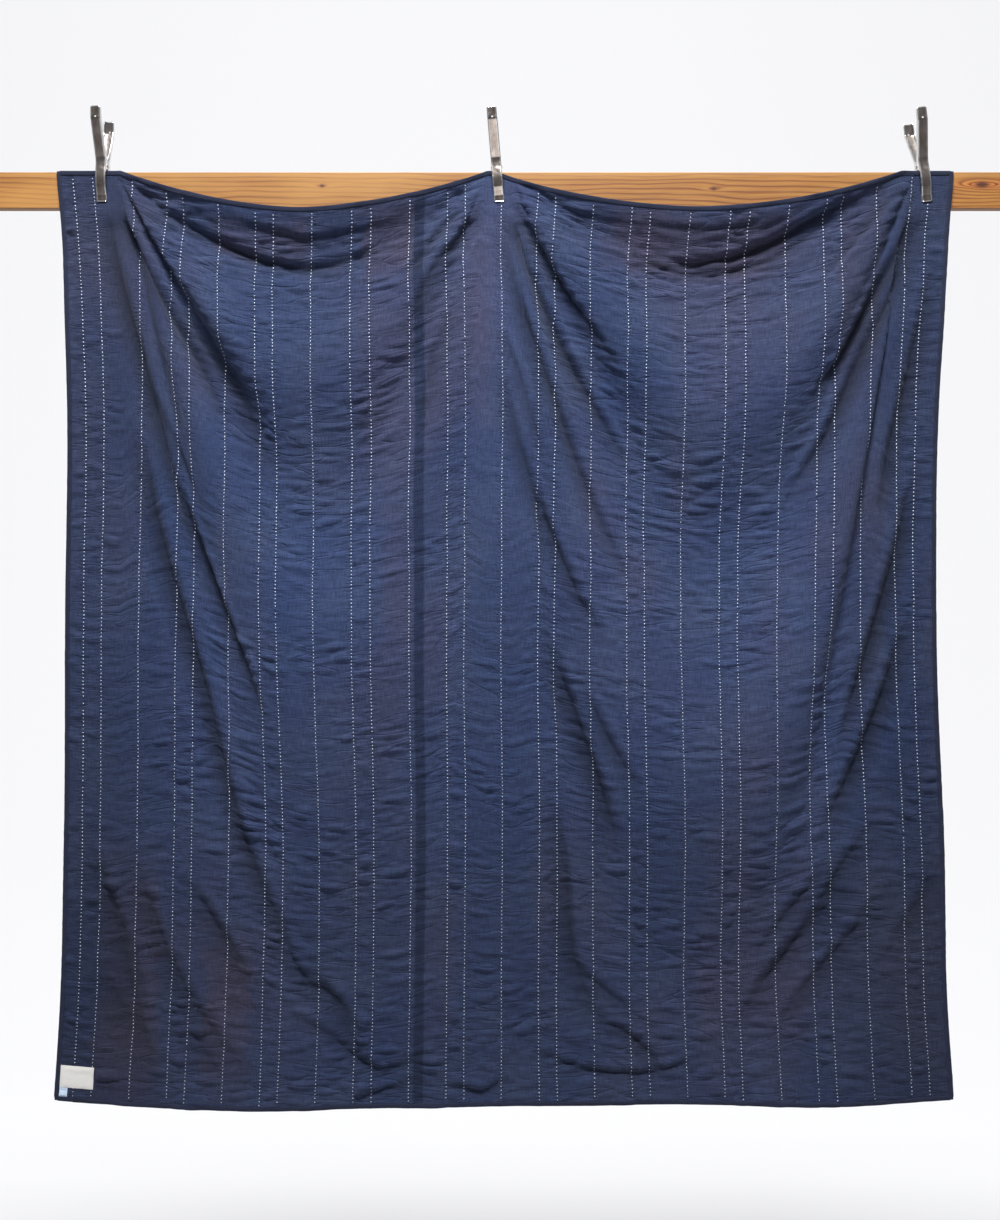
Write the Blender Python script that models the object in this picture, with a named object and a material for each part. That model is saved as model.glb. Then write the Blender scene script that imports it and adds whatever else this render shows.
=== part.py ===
"""A kantha quilt hung from a wooden rail by three steel spring clamps.

Frame: the origin is the middle of the rail's underside. X runs along the rail, Y points away
from the quilt's face (the quilt hangs on the rail's -Y side) and Z is up. Metres throughout.
A place on the quilt is given as across (a, from its left edge) and down (b, from its top edge),
both measured along the cloth as it was cut.
"""
import math

import bmesh
import bpy
import numpy as np

# ---------------------------------------------------------------- driving dimensions
QUILT_WIDTH = 2.235             # 88 in
QUILT_LENGTH = 2.286            # 90 in
QUILT_THICK = 0.003
BINDING_WIDTH = 0.010           # what shows of the binding on each face
BINDING_THICK = 0.001
GAP = 0.0003                    # between pieces that touch
BINDING_GAP = 0.0005            # between the quilt and the binding folded over it

RAIL_LENGTH = 2.600
RAIL_HEIGHT = 0.089
RAIL_THICK = 0.022
RAIL_EASE = 0.0015              # the board's eased edges

LABEL_LEFT = BINDING_WIDTH + 0.0008
LABEL_RIGHT = 0.094
LABEL_TOP = 2.199
LABEL_FOOT = 2.253
LABEL_THICK = 0.0006
TAB_RIGHT = 0.031
TAB_FOOT = QUILT_LENGTH - BINDING_WIDTH - 0.0008

CLAMP_FLAT = 0.023              # the cloth is flat this far to each side of a clamp
STEEL = 0.0016                  # thickness of the clamps' pressed arms
PIVOT_Z = 0.1055
JAW_Z = 0.020                   # middle of the jaws' grip
HANG_HOLE_R = 0.0025
HANG_HOLE_UP = 0.1036           # above the pivot
PIN_R = 0.0030
PIN_HEAD_R = 0.0050
PIN_HEAD_THICK = 0.0012
EAR_HALF = 0.0125               # half width over the front arm's ears
SPRING_R = 0.0065
SPRING_WIRE_R = 0.0012
SPRING_TURNS = 4
SPRING_LEG_UP = 0.040

# the cloth's middle surface under the clamps, in front of the rail's middle plane
CLAMPED = RAIL_THICK / 2 + GAP + BINDING_THICK + BINDING_GAP + QUILT_THICK / 2
# the clamps' middle plane, half way between the two faces that their jaws grip
CLAMP_Y = (RAIL_THICK / 2 - (CLAMPED + QUILT_THICK / 2)) / 2
GRIP = RAIL_THICK / 2 - CLAMP_Y + GAP

# across: where the clamp grips the quilt; lean: its top to the right; turn: about the vertical;
# front and rear: how far each handle leans out (all degrees)
CLAMPS = [
    dict(name="left", across=0.104, lean=-1.0, turn=-1.5, front=20.0, rear=20.0),
    dict(name="middle", across=1.104, lean=-4.7, turn=-2.2, front=20.0, rear=21.0),
    dict(name="right", across=2.175, lean=-6.3, turn=-1.5, front=18.0, rear=27.0),
]

# A row for each section of a clamp's arm up to the handle. up: above the pivot; out: the web's
# outer face from the clamp's middle plane; half and nested: half widths of the front and the
# rear arm, whose ears sit inside the front arm's; flange: how deep the two sides are.
ARM_SECTIONS = [
    dict(up=-0.0910, out=0.0157, half=0.0132, nested=0.0132, flange=0.0021),
    dict(up=-0.0765, out=0.0157, half=0.0132, nested=0.0132, flange=0.0021),
    dict(up=-0.0735, out=0.0172, half=0.0125, nested=0.0125, flange=0.0032),
    dict(up=-0.0550, out=0.0232, half=0.0125, nested=0.0122, flange=0.0078),
    dict(up=-0.0340, out=0.0250, half=0.0125, nested=0.0116, flange=0.0092),
    dict(up=-0.0098, out=0.0216, half=0.0125, nested=0.0106, flange=0.0062),
    dict(up=-0.0066, out=0.0208, half=0.0125, nested=0.0106, flange=0.0280),
    dict(up=0.0085, out=0.0195, half=0.0125, nested=0.0106, flange=0.0265),
    dict(up=0.0150, out=0.0205, half=0.0125, nested=0.0106, flange=0.0160),
]
# the handle, which leans out along its run and stands upright at its end
HANDLE_SECTIONS = [
    dict(up=0.0400, half=0.0125, nested=0.0110, flange=0.0130),
    dict(up=0.0700, half=0.0125, nested=0.0118, flange=0.0115),
    dict(up=0.1000, half=0.0123, nested=0.0122, flange=0.0100),
    dict(up=0.1290, half=0.0120, nested=0.0120, flange=0.0085),
]
HANDLE_FROM = 0.0150            # above the pivot, where a handle starts to lean out
HANDLE_UPRIGHT = 0.1000         # above the pivot, where it stands upright again

# ---------------------------------------------------------------- how the cloth hangs
# A row for each fold line of a swag between two clamps, from the top edge down.
# drop: down the cloth at its lowest point; forward: how far the cloth stands in front of the
# rail's middle plane; low_at: where the lowest point is, -1 at the left clamp and 1 at the
# right; bow: how round the line is to the left and right of it; hold: how near to each clamp
# the fold keeps its depth.
LEFT_SWAG = [
    dict(drop=0.000, forward=0.066, low_at=0.00, bow=(2.0, 2.0), hold=(2.0, 2.0)),
    dict(drop=0.140, forward=0.0145, low_at=0.10, bow=(1.5, 1.5), hold=(2.6, 2.6)),
    dict(drop=0.400, forward=0.056, low_at=0.05, bow=(1.2, 1.5), hold=(3.0, 2.0)),
    dict(drop=0.720, forward=0.012, low_at=0.10, bow=(0.9, 1.3), hold=(3.0, 1.6)),
    dict(drop=1.090, forward=0.054, low_at=0.15, bow=(1.3, 1.8), hold=(4.0, 1.6)),
    dict(drop=2.030, forward=0.016, low_at=0.30, bow=(1.2, 2.2), hold=(4.0, 2.0)),
    dict(drop=2.500, forward=0.030, low_at=0.30, bow=(1.2, 2.2), hold=(4.0, 2.0)),
]
RIGHT_SWAG = [
    dict(drop=0.000, forward=0.070, low_at=0.00, bow=(2.0, 2.0), hold=(2.0, 2.0)),
    dict(drop=0.165, forward=0.0145, low_at=-0.10, bow=(0.8, 0.9), hold=(2.6, 2.6)),
    dict(drop=0.480, forward=0.060, low_at=0.00, bow=(1.0, 1.2), hold=(3.0, 3.0)),
    dict(drop=0.850, forward=0.010, low_at=0.04, bow=(1.1, 1.3), hold=(3.0, 3.0)),
    dict(drop=1.420, forward=0.058, low_at=0.00, bow=(1.9, 1.9), hold=(3.5, 3.5)),
    dict(drop=1.980, forward=0.014, low_at=-0.10, bow=(2.4, 2.0), hold=(4.0, 3.5)),
    dict(drop=2.500, forward=0.032, low_at=-0.10, bow=(2.4, 2.0), hold=(4.0, 3.5)),
]
SWAG_ROUND = 0.22               # how round every fold line is at its lowest point
LINE_APART = 0.003              # least distance between two fold lines, down the cloth
FOLD_ROOM = 0.015               # folds that lie closer together than this stay shallow

# how far forward the cloth hangs straight below each clamp
UNDER_CLAMP = [
    dict(down=0.000, forward=CLAMPED), dict(down=0.078, forward=CLAMPED),
    dict(down=0.092, forward=CLAMPED + 0.0010), dict(down=0.42, forward=0.038),
    dict(down=0.95, forward=0.042), dict(down=1.60, forward=0.034),
    dict(down=2.30, forward=0.026),
]
# how the top edge sags between the clamps
TOP_SAGS = [
    dict(start=0.155, end=1.075, sag=0.102, bow=1.70),
    dict(start=1.093, end=2.106, sag=0.101, bow=1.75),
]
# the two side edges, as hung
SIDE_EDGES = [
    dict(down=0.00, left=-1.084, right=1.109), dict(down=0.20, left=-1.066, right=1.091),
    dict(down=0.55, left=-1.050, right=1.064), dict(down=1.15, left=-1.054, right=1.057),
    dict(down=1.70, left=-1.060, right=1.080), dict(down=2.00, left=-1.068, right=1.086),
    dict(down=2.286, left=-1.086, right=1.105),
]
# the quilt's foot, as hung
FOOT = [
    dict(across=0.00, height=-2.178), dict(across=0.10, height=-2.186),
    dict(across=0.45, height=-2.203), dict(across=0.90, height=-2.196),
    dict(across=1.50, height=-2.188), dict(across=2.00, height=-2.191),
    dict(across=2.235, height=-2.177),
]
# where the folds draw the cloth sideways
DRIFTS = [
    dict(across=0.62, down=0.65, width=0.24, height=0.65, shift=-0.020),
    dict(across=1.87, down=0.55, width=0.22, height=0.70, shift=0.020),
]

FIELD_STEP = 0.010              # the surface is worked out on a grid this fine
CLOTH_STEP_NEAR = 0.042         # the solid's columns beside a clamp
CLOTH_STEP_FAR = 0.066          # and half way between two


# ---------------------------------------------------------------- the hung surface
def smooth(u):
    u = np.clip(u, 0.0, 1.0)
    return u * u * (3.0 - 2.0 * u)


def table(rows, key):
    return np.array([row[key] for row in rows])


def eased(x, rows, at, key):
    """A table's column, eased from row to row."""
    xs, ys = table(rows, at), table(rows, key)
    i = np.clip(np.searchsorted(xs, x, side="right") - 1, 0, len(xs) - 2)
    return ys[i] + (ys[i + 1] - ys[i]) * smooth((x - xs[i]) / (xs[i + 1] - xs[i]))


def curved(x, rows, at, key):
    """A table's column, along a smooth curve through its rows."""
    xs, ys = table(rows, at), table(rows, key)
    slope = np.gradient(ys, xs)
    i = np.clip(np.searchsorted(xs, x, side="right") - 1, 0, len(xs) - 2)
    step = xs[i + 1] - xs[i]
    u = np.clip((x - xs[i]) / step, 0.0, 1.0)
    start = (1 + 2 * u) * (1 - u) ** 2 * ys[i] + u * (1 - u) ** 2 * step * slope[i]
    end = u * u * (3 - 2 * u) * ys[i + 1] + u * u * (u - 1) * step * slope[i + 1]
    return start + end


def fold_rise(t, row):
    """How far up its line a fold stands at t: 0 at its lowest point and 1 at the clamps."""
    left = t < row["low_at"]
    reach = np.where(left, 1 + row["low_at"], 1 - row["low_at"])
    s = np.clip(np.abs(t - row["low_at"]) / reach, 0.0, 1.0)
    r = SWAG_ROUND
    soft = (np.sqrt(s * s + r * r) - r) / (math.sqrt(1 + r * r) - r)
    return soft ** np.where(left, row["bow"][0], row["bow"][1])


def swag_forward(a, b, start, end, rows, under):
    """The depth of the nested folds between two clamps."""
    t = np.clip(2 * (a - start) / (end - start) - 1, -1.0, 1.0)
    lines, depths = [], []
    for row in rows:
        line = row["drop"] * (1 - fold_rise(t, row))
        lines.append(np.maximum(line, lines[-1] + LINE_APART) if lines else line)
    for k, row in enumerate(rows):
        room = lines[min(k + 1, len(rows) - 1)] - lines[max(k - 1, 0)]
        hold = 1 - np.abs(t) ** np.where(t < 0, row["hold"][0], row["hold"][1])
        depths.append(under + (row["forward"] - under) * hold * room / (room + FOLD_ROOM))
    result = depths[-1]
    for k in range(len(rows) - 1):
        u = (b - lines[k]) / (lines[k + 1] - lines[k])
        between = depths[k] + (depths[k + 1] - depths[k]) * smooth(u)
        result = np.where((u >= 0) & (u < 1), between, result)
    return result


def cloth_forward(a, b):
    """How far the cloth's middle surface stands in front of the rail's middle plane."""
    under = eased(b, UNDER_CLAMP, "down", "forward")
    grips = [clamp["across"] for clamp in CLAMPS]
    result = under
    for start, end, rows in ((grips[0], grips[1], LEFT_SWAG), (grips[1], grips[2], RIGHT_SWAG)):
        inset = CLAMP_FLAT + FIELD_STEP
        swag = swag_forward(a, b, start + inset, end - inset, rows, under)
        result = np.where((a > start) & (a < end), swag, result)
    return result


def top_edge(a):
    z = np.full_like(a, RAIL_HEIGHT)
    for row in TOP_SAGS:
        t = np.clip(np.abs(2 * (a - row["start"]) / (row["end"] - row["start"]) - 1), 0.0, 1.0)
        z = z - row["sag"] * (1 - t ** row["bow"])
    return z


def share_along(rate, places, axis):
    """The running total of a rate along an axis, as a share of its whole."""
    rate = np.moveaxis(rate, axis, -1)
    steps = (rate[..., 1:] + rate[..., :-1]) / 2 * np.diff(places)
    total = np.concatenate([np.zeros(steps.shape[:-1] + (1,)), np.cumsum(steps, -1)], -1)
    return np.moveaxis(total / total[..., -1:], -1, axis)


def hung_surface(a, b):
    """Points of the cloth's middle surface, a row for each b and a column for each a."""
    across, down = np.meshgrid(a, b)
    forward = cloth_forward(across, down)
    slope_down, slope_across = np.gradient(forward, b, a)
    top, foot = top_edge(a), curved(a, FOOT, "across", "height")
    fall = share_along(np.sqrt(np.clip(1 - slope_down ** 2, 0.05, 1)), b, 0)
    z = top - (top - foot) * fall
    slope_up = np.gradient(z, a, axis=1)
    run = np.sqrt(np.clip(1 - slope_across ** 2 - slope_up ** 2, 0.05, 1))
    left = curved(b, SIDE_EDGES, "down", "left")[:, None]
    right = curved(b, SIDE_EDGES, "down", "right")[:, None]
    x = left + (right - left) * share_along(run, a, 1)
    for row in DRIFTS:
        beside = (across - row["across"]) / row["width"]
        below = (down - row["down"]) / row["height"]
        x = x + row["shift"] * np.exp(-beside ** 2 - below ** 2)
    return np.stack([x, -forward, z], -1)


class Cloth:
    """The hung surface, which can be read anywhere on the quilt."""

    def __init__(self):
        self.a = np.linspace(0, QUILT_WIDTH, round(QUILT_WIDTH / FIELD_STEP) + 1)
        self.b = np.linspace(0, QUILT_LENGTH, round(QUILT_LENGTH / FIELD_STEP) + 1)
        self.points = hung_surface(self.a, self.b)
        along_a = np.gradient(self.points, axis=1)
        along_b = np.gradient(self.points, axis=0)
        normals = np.cross(along_a, along_b)
        normals *= -np.sign(normals[..., 1:2])
        self.normals = normals / np.linalg.norm(normals, axis=-1, keepdims=True)

    def read(self, field, a, b):
        i = np.interp(a, self.a, np.arange(len(self.a)))
        j = np.interp(b, self.b, np.arange(len(self.b)))
        i0, j0 = min(int(i), len(self.a) - 2), min(int(j), len(self.b) - 2)
        u, v = i - i0, j - j0
        above = field[j0, i0] * (1 - u) + field[j0, i0 + 1] * u
        below = field[j0 + 1, i0] * (1 - u) + field[j0 + 1, i0 + 1] * u
        return above * (1 - v) + below * v

    def point(self, a, b, proud=0.0):
        """A point on the cloth, or proud of its middle surface, towards the viewer."""
        normal = self.read(self.normals, a, b)
        return self.read(self.points, a, b) + normal / np.linalg.norm(normal) * proud

    def beyond(self, a, b, out, past, proud):
        """A point past the cloth's edge, out in the direction (out) across and down."""
        inner = self.point(a - out[0] * FIELD_STEP, b - out[1] * FIELD_STEP, proud)
        edge = self.point(a, b, proud)
        return edge + (edge - inner) / np.linalg.norm(edge - inner) * past


# ---------------------------------------------------------------- helpers
def clear_scene():
    for obj in list(bpy.data.objects):
        bpy.data.objects.remove(obj, do_unlink=True)


def make_material(name, colour, roughness, metallic=0.0):
    material = bpy.data.materials.new(name)
    material.use_nodes = True
    shader = material.node_tree.nodes["Principled BSDF"]
    shader.inputs["Base Color"].default_value = (*colour, 1.0)
    shader.inputs["Roughness"].default_value = roughness
    shader.inputs["Metallic"].default_value = metallic
    return material


def link_object(name, data, material=None):
    obj = bpy.data.objects.new(name, data)
    bpy.context.scene.collection.objects.link(obj)
    if material:
        data.materials.append(material)
    return obj


def object_from_bmesh(name, bm, material=None, smooth_below=None):
    bmesh.ops.remove_doubles(bm, verts=bm.verts, dist=1e-6)
    bmesh.ops.recalc_face_normals(bm, faces=bm.faces)
    mesh = bpy.data.meshes.new(name)
    bm.to_mesh(mesh)
    bm.free()
    if smooth_below is not None:
        mesh.shade_smooth()
        mesh.set_sharp_from_angle(angle=math.radians(smooth_below))
    return link_object(name, mesh, material)


def split_quad(bm, corners, other_way=False):
    """Two triangles on four corners, cut from the first corner or from the second."""
    p, q, r, s = corners
    if other_way:
        p, q, r, s = q, r, s, p
    for triangle in ((p, q, r), (p, r, s)):
        if len(set(triangle)) == 3:
            bm.faces.new(triangle)


def stepped(start, end, near, far):
    """Places from start to end, near apart at the ends and far apart half way."""
    count = round((end - start) / (near + far) * 2)
    u = np.linspace(0, 1, count + 1)
    rate = near + (far - near) * np.sin(math.pi * u)
    return start + (end - start) * share_along(rate, u, 0)


# ---------------------------------------------------------------- the quilt
def cloth_columns():
    """Where the solid's columns stand: on the edges of the flat grips, label and binding."""
    columns = [0.0, BINDING_WIDTH, TAB_RIGHT, CLAMPS[0]["across"] - CLAMP_FLAT, LABEL_RIGHT]
    for left, right in zip(CLAMPS, CLAMPS[1:]):
        start, end = left["across"] + CLAMP_FLAT, right["across"] - CLAMP_FLAT
        columns += list(stepped(start, end, CLOTH_STEP_NEAR, CLOTH_STEP_FAR))
    return columns + [CLAMPS[2]["across"] + CLAMP_FLAT, QUILT_WIDTH - BINDING_WIDTH, QUILT_WIDTH]


def cloth_rows():
    """Rows close together in the top folds and further apart below them."""
    rows = [0.0, BINDING_WIDTH, 0.040, 0.078, 0.092, 0.118, 0.148, 0.180]
    rows += list(np.linspace(0.180, 0.900, 17)[1:])
    rows += list(np.linspace(0.900, LABEL_TOP, 20)[1:])
    return rows + [LABEL_FOOT, QUILT_LENGTH - BINDING_WIDTH, QUILT_LENGTH]


def lattice_place(columns, rows, i, j):
    """Across and down of a lattice point; the four corners are cut round."""
    a, b = columns[i], rows[j]
    if i in (0, len(columns) - 1) and j in (0, len(rows) - 1):
        cut = BINDING_WIDTH * (1 - math.sqrt(0.5))
        a += cut if i == 0 else -cut
        b += cut if j == 0 else -cut
    return a, b


def build_quilt(cloth, material):
    columns, rows = cloth_columns(), cloth_rows()
    bm = bmesh.new()
    faces = {}
    for side in (1, -1):
        faces[side] = [
            [bm.verts.new(cloth.point(*lattice_place(columns, rows, i, j), side * QUILT_THICK / 2))
             for i in range(len(columns))]
            for j in range(len(rows))]
    last_i, last_j = len(columns) - 1, len(rows) - 1
    for grid in faces.values():
        for j in range(last_j):
            for i in range(last_i):
                corners = (grid[j][i], grid[j][i + 1], grid[j + 1][i + 1], grid[j + 1][i])
                at_corner = (i, j) in ((last_i - 1, 0), (0, last_j - 1))
                split_quad(bm, corners, other_way=at_corner)
    for path in rim_paths(last_i, last_j):
        for (i, j), (k, m) in zip(path, path[1:]):
            front, back = faces[1], faces[-1]
            split_quad(bm, (front[j][i], front[m][k], back[m][k], back[j][i]))
    return object_from_bmesh("quilt", bm, material, smooth_below=60)


def rim_paths(last_i, last_j):
    """The lattice points along the quilt's four sides, in turn round it."""
    return [
        [(i, 0) for i in range(last_i + 1)],
        [(last_i, j) for j in range(last_j + 1)],
        [(i, last_j) for i in range(last_i, -1, -1)],
        [(0, j) for j in range(last_j, -1, -1)],
    ]


def rim_stations():
    """Each rim point's place, the way out of the cloth there, and if its side runs across."""
    columns, rows = cloth_columns(), cloth_rows()
    last_i, last_j = len(columns) - 1, len(rows) - 1
    stations = []
    for k, path in enumerate(rim_paths(last_i, last_j)):
        for i, j in path[:-1]:
            out_a = (i == last_i) - (i == 0)
            out_b = (j == last_j) - (j == 0)
            length = math.hypot(out_a, out_b)
            a, b = lattice_place(columns, rows, i, j)
            stations.append((a, b, (out_a / length, out_b / length), k % 2 == 0))
    return stations


def build_binding(cloth, material):
    """A strip folded over the quilt's edge: a U in section, carried all the way round."""
    inner = QUILT_THICK / 2 + BINDING_GAP
    outer = inner + BINDING_THICK
    section = [
        (-BINDING_WIDTH, inner), (-BINDING_WIDTH, outer), (GAP + BINDING_THICK, outer),
        (GAP + BINDING_THICK, -outer), (-BINDING_WIDTH, -outer), (-BINDING_WIDTH, -inner),
        (GAP, -inner), (GAP, inner),
    ]
    bm = bmesh.new()
    rings = []
    stations = rim_stations()
    for a, b, out, _ in stations:
        ring = []
        for past, proud in section:
            if past < 0:
                place = cloth.point(a + out[0] * past, b + out[1] * past, proud)
            else:
                place = cloth.beyond(a, b, out, past, proud)
            ring.append(bm.verts.new(place))
        rings.append(ring)
    for k, ring in enumerate(rings):
        following = rings[(k + 1) % len(rings)]
        runs_across = stations[k][3]
        for m in range(len(section)):
            n = (m + 1) % len(section)
            from_rim = section[m][0] > section[n][0]
            corners = (ring[m], ring[n], following[n], following[m])
            split_quad(bm, corners, other_way=from_rim != runs_across)
    return object_from_bmesh("binding", bm, material, smooth_below=40)


def build_patch(cloth, name, places_a, places_b, material):
    """A thin piece sewn flat to the quilt's face, its corners on the solid's own facets."""
    columns, rows = cloth_columns(), cloth_rows()

    def on_facets(a, b, proud):
        i = max(k for k, place in enumerate(columns) if place <= a + 1e-9)
        j = max(k for k, place in enumerate(rows) if place <= b + 1e-9)
        u = (a - columns[i]) / (columns[i + 1] - columns[i])
        v = (b - rows[j]) / (rows[j + 1] - rows[j])
        near, far = columns[i], columns[i + 1]
        above = cloth.point(near, rows[j], proud) * (1 - u) + cloth.point(far, rows[j], proud) * u
        low = rows[j + 1]
        below = cloth.point(near, low, proud) * (1 - u) + cloth.point(far, low, proud) * u
        return above * (1 - v) + below * v

    bm = bmesh.new()
    base = QUILT_THICK / 2 + GAP
    layers = []
    for proud in (base, base + LABEL_THICK):
        layers.append([[bm.verts.new(on_facets(a, b, proud)) for a in places_a] for b in places_b])
    for grid in layers:
        for j in range(len(places_b) - 1):
            for i in range(len(places_a) - 1):
                split_quad(bm, (grid[j][i], grid[j][i + 1], grid[j + 1][i + 1], grid[j + 1][i]))
    low, high = layers
    for path in rim_paths(len(places_a) - 1, len(places_b) - 1):
        for (i, j), (k, m) in zip(path, path[1:]):
            bm.faces.new((low[j][i], low[m][k], high[m][k], high[j][i]))
    return object_from_bmesh(name, bm, material)


# ---------------------------------------------------------------- the rail
def build_rail(material):
    bm = bmesh.new()
    bmesh.ops.create_cube(bm, size=1.0)
    bmesh.ops.scale(bm, vec=(RAIL_LENGTH, RAIL_THICK, RAIL_HEIGHT), verts=bm.verts)
    bmesh.ops.translate(bm, vec=(0, 0, RAIL_HEIGHT / 2), verts=bm.verts)
    rail = object_from_bmesh("rail", bm, material)
    ease = rail.modifiers.new("eased edges", "BEVEL")
    ease.width = RAIL_EASE
    ease.segments = 2
    return rail


# ---------------------------------------------------------------- the clamps
def arm_sections(lean):
    """The rows of one arm, its handle leaning out by lean degrees."""
    rows = [dict(row) for row in ARM_SECTIONS]
    start = rows[-1]["out"]
    for row in HANDLE_SECTIONS:
        run = min(row["up"], HANDLE_UPRIGHT) - HANDLE_FROM
        rows.append(dict(row, out=start + run * math.tan(math.radians(lean))))
    return rows


def build_arm(name, lean, side, opened, material):
    """A pressed channel: side is -1 for the front arm and 1 for the rear one."""
    bm = bmesh.new()
    rings = []
    for row in arm_sections(lean):
        half = row["half"] if side < 0 else row["nested"]
        flange = row["flange"]
        section = [
            (-half, flange), (-half, 0), (half, 0), (half, flange),
            (half - STEEL, flange), (half - STEEL, STEEL),
            (STEEL - half, STEEL), (STEEL - half, flange),
        ]
        z = PIVOT_Z - JAW_Z + row["up"]
        out = row["out"] + opened
        rings.append([bm.verts.new((x, side * (out - depth), z)) for x, depth in section])
    for ring, following in zip(rings, rings[1:]):
        for m in range(len(ring)):
            n = (m + 1) % len(ring)
            bm.faces.new((ring[m], ring[n], following[n], following[m]))
    for ring in (rings[0], rings[-1]):
        for corners in ((0, 1, 6, 7), (1, 2, 5, 6), (2, 3, 4, 5)):
            bm.faces.new([ring[k] for k in corners])
    return object_from_bmesh(name, bm, material, smooth_below=35)


def build_cutter(name, radius, length, along, height, parent):
    """A round cutter along X or Y, at a height above the jaws' grip."""
    bm = bmesh.new()
    bmesh.ops.create_cone(
        bm, cap_ends=True, segments=16, radius1=radius, radius2=radius, depth=length)
    cutter = object_from_bmesh(name, bm)
    cutter.rotation_euler = (0, math.pi / 2, 0) if along == "X" else (math.pi / 2, 0, 0)
    cutter.location = (0, 0, height)
    cutter.parent = parent
    cutter.hide_render = True
    cutter.display_type = "WIRE"
    return cutter


def build_pin(name, material):
    """A riveted pin: a shank with a flat head at each end, turned about X."""
    head = EAR_HALF + GAP
    profile = [
        (-head - PIN_HEAD_THICK, 0), (-head - PIN_HEAD_THICK, PIN_HEAD_R), (-head, PIN_HEAD_R),
        (-head, PIN_R), (head, PIN_R), (head, PIN_HEAD_R),
        (head + PIN_HEAD_THICK, PIN_HEAD_R), (head + PIN_HEAD_THICK, 0),
    ]
    bm = bmesh.new()
    z = PIVOT_Z - JAW_Z
    verts = [bm.verts.new((x, 0, z + r)) for x, r in profile]
    edges = [bm.edges.new(pair) for pair in zip(verts, verts[1:])]
    bmesh.ops.spin(
        bm, geom=verts + edges, cent=(0, 0, z), axis=(1, 0, 0), angle=math.tau, steps=14,
        use_merge=True)
    return object_from_bmesh(name, bm, material, smooth_below=40)


def build_spring(name, row, opened, material):
    """A coil round the pin, with a leg up the inside of each handle."""
    sections = {-1: arm_sections(row["front"]), 1: arm_sections(row["rear"])}
    pitch = 2 * SPRING_WIRE_R + GAP
    turns = SPRING_TURNS - 0.5
    z = PIVOT_Z - JAW_Z
    steps = 10 * SPRING_TURNS - 5
    points = []
    for k in range(steps + 1):
        u = k / steps
        angle = math.pi + math.tau * turns * u
        x = (u - 0.5) * pitch * turns
        points.append((x, SPRING_R * math.cos(angle), z + SPRING_R * math.sin(angle)))
    for side in (-1, 1):
        ups = table(sections[side], "up")
        web = np.interp(SPRING_LEG_UP, ups, table(sections[side], "out")) + opened - STEEL
        reach = web - SPRING_WIRE_R / math.cos(math.radians(row["rear"])) - GAP
        foot = points[0] if side < 0 else points[-1]
        leg = [
            (foot[0], side * (SPRING_R + (reach - SPRING_R) * u), z + SPRING_LEG_UP * u)
            for u in (0.5, 1.0)]
        points = leg[::-1] + points if side < 0 else points + leg
    curve = bpy.data.curves.new(name, "CURVE")
    curve.dimensions = "3D"
    curve.bevel_depth = SPRING_WIRE_R
    curve.bevel_resolution = 1
    curve.use_fill_caps = True
    spline = curve.splines.new("POLY")
    spline.points.add(len(points) - 1)
    for point, place in zip(spline.points, points):
        point.co = (*place, 1.0)
    return link_object(name, curve, material)


def build_clamp(row, cloth, steel, spring_steel):
    name = "clamp_" + row["name"]
    place = bpy.data.objects.new(name, None)
    bpy.context.scene.collection.objects.link(place)
    grip = cloth.point(row["across"], RAIL_HEIGHT - JAW_Z)
    place.location = (grip[0], CLAMP_Y, JAW_Z)
    place.rotation_euler = (0, math.radians(row["lean"]), math.radians(row["turn"]))
    lip = ARM_SECTIONS[0]["half"]
    opened = GRIP - (ARM_SECTIONS[0]["out"] - ARM_SECTIONS[0]["flange"])
    opened += lip * math.sin(math.radians(abs(row["turn"])))
    pivot = PIVOT_Z - JAW_Z
    pin_cutter = build_cutter(name + "_pin_cutter", PIN_R + GAP, 0.05, "X", pivot, place)
    hole_cutter = build_cutter(
        name + "_hole_cutter", HANG_HOLE_R, 0.30, "Y", pivot + HANG_HOLE_UP, place)
    pieces = [
        build_arm(name + "_front_arm", row["front"], -1, opened, steel),
        build_arm(name + "_rear_arm", row["rear"], 1, opened, steel),
    ]
    for arm in pieces:
        for cutter in (pin_cutter, hole_cutter):
            cut = arm.modifiers.new(cutter.name, "BOOLEAN")
            cut.operation = "DIFFERENCE"
            cut.solver = "EXACT"
            cut.object = cutter
    pieces.append(build_pin(name + "_pin", spring_steel))
    pieces.append(build_spring(name + "_spring", row, opened, spring_steel))
    for piece in pieces:
        piece.parent = place


# ---------------------------------------------------------------- the whole
def main():
    clear_scene()
    navy = make_material("navy cotton", (0.045, 0.062, 0.125), 0.85)
    dark_navy = make_material("dark navy binding", (0.022, 0.030, 0.062), 0.85)
    off_white = make_material("off-white label", (0.78, 0.77, 0.72), 0.80)
    pale_blue = make_material("pale blue tab", (0.55, 0.64, 0.76), 0.80)
    pine = make_material("planed pine", (0.60, 0.34, 0.14), 0.55)
    steel = make_material("polished steel", (0.72, 0.70, 0.67), 0.18, metallic=1.0)
    spring_steel = make_material("spring steel", (0.62, 0.61, 0.60), 0.30, metallic=1.0)

    cloth = Cloth()
    build_rail(pine)
    build_quilt(cloth, navy)
    build_binding(cloth, dark_navy)
    build_patch(
        cloth, "label", (LABEL_LEFT, TAB_RIGHT, CLAMPS[0]["across"] - CLAMP_FLAT, LABEL_RIGHT),
        (LABEL_TOP, LABEL_FOOT), off_white)
    build_patch(
        cloth, "label_tab", (LABEL_LEFT, TAB_RIGHT), (LABEL_FOOT + GAP, TAB_FOOT), pale_blue)
    for row in CLAMPS:
        build_clamp(row, cloth, steel, spring_steel)


main()
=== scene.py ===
import math

import bmesh
import bpy
import numpy as np
from mathutils import Matrix, Vector


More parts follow.
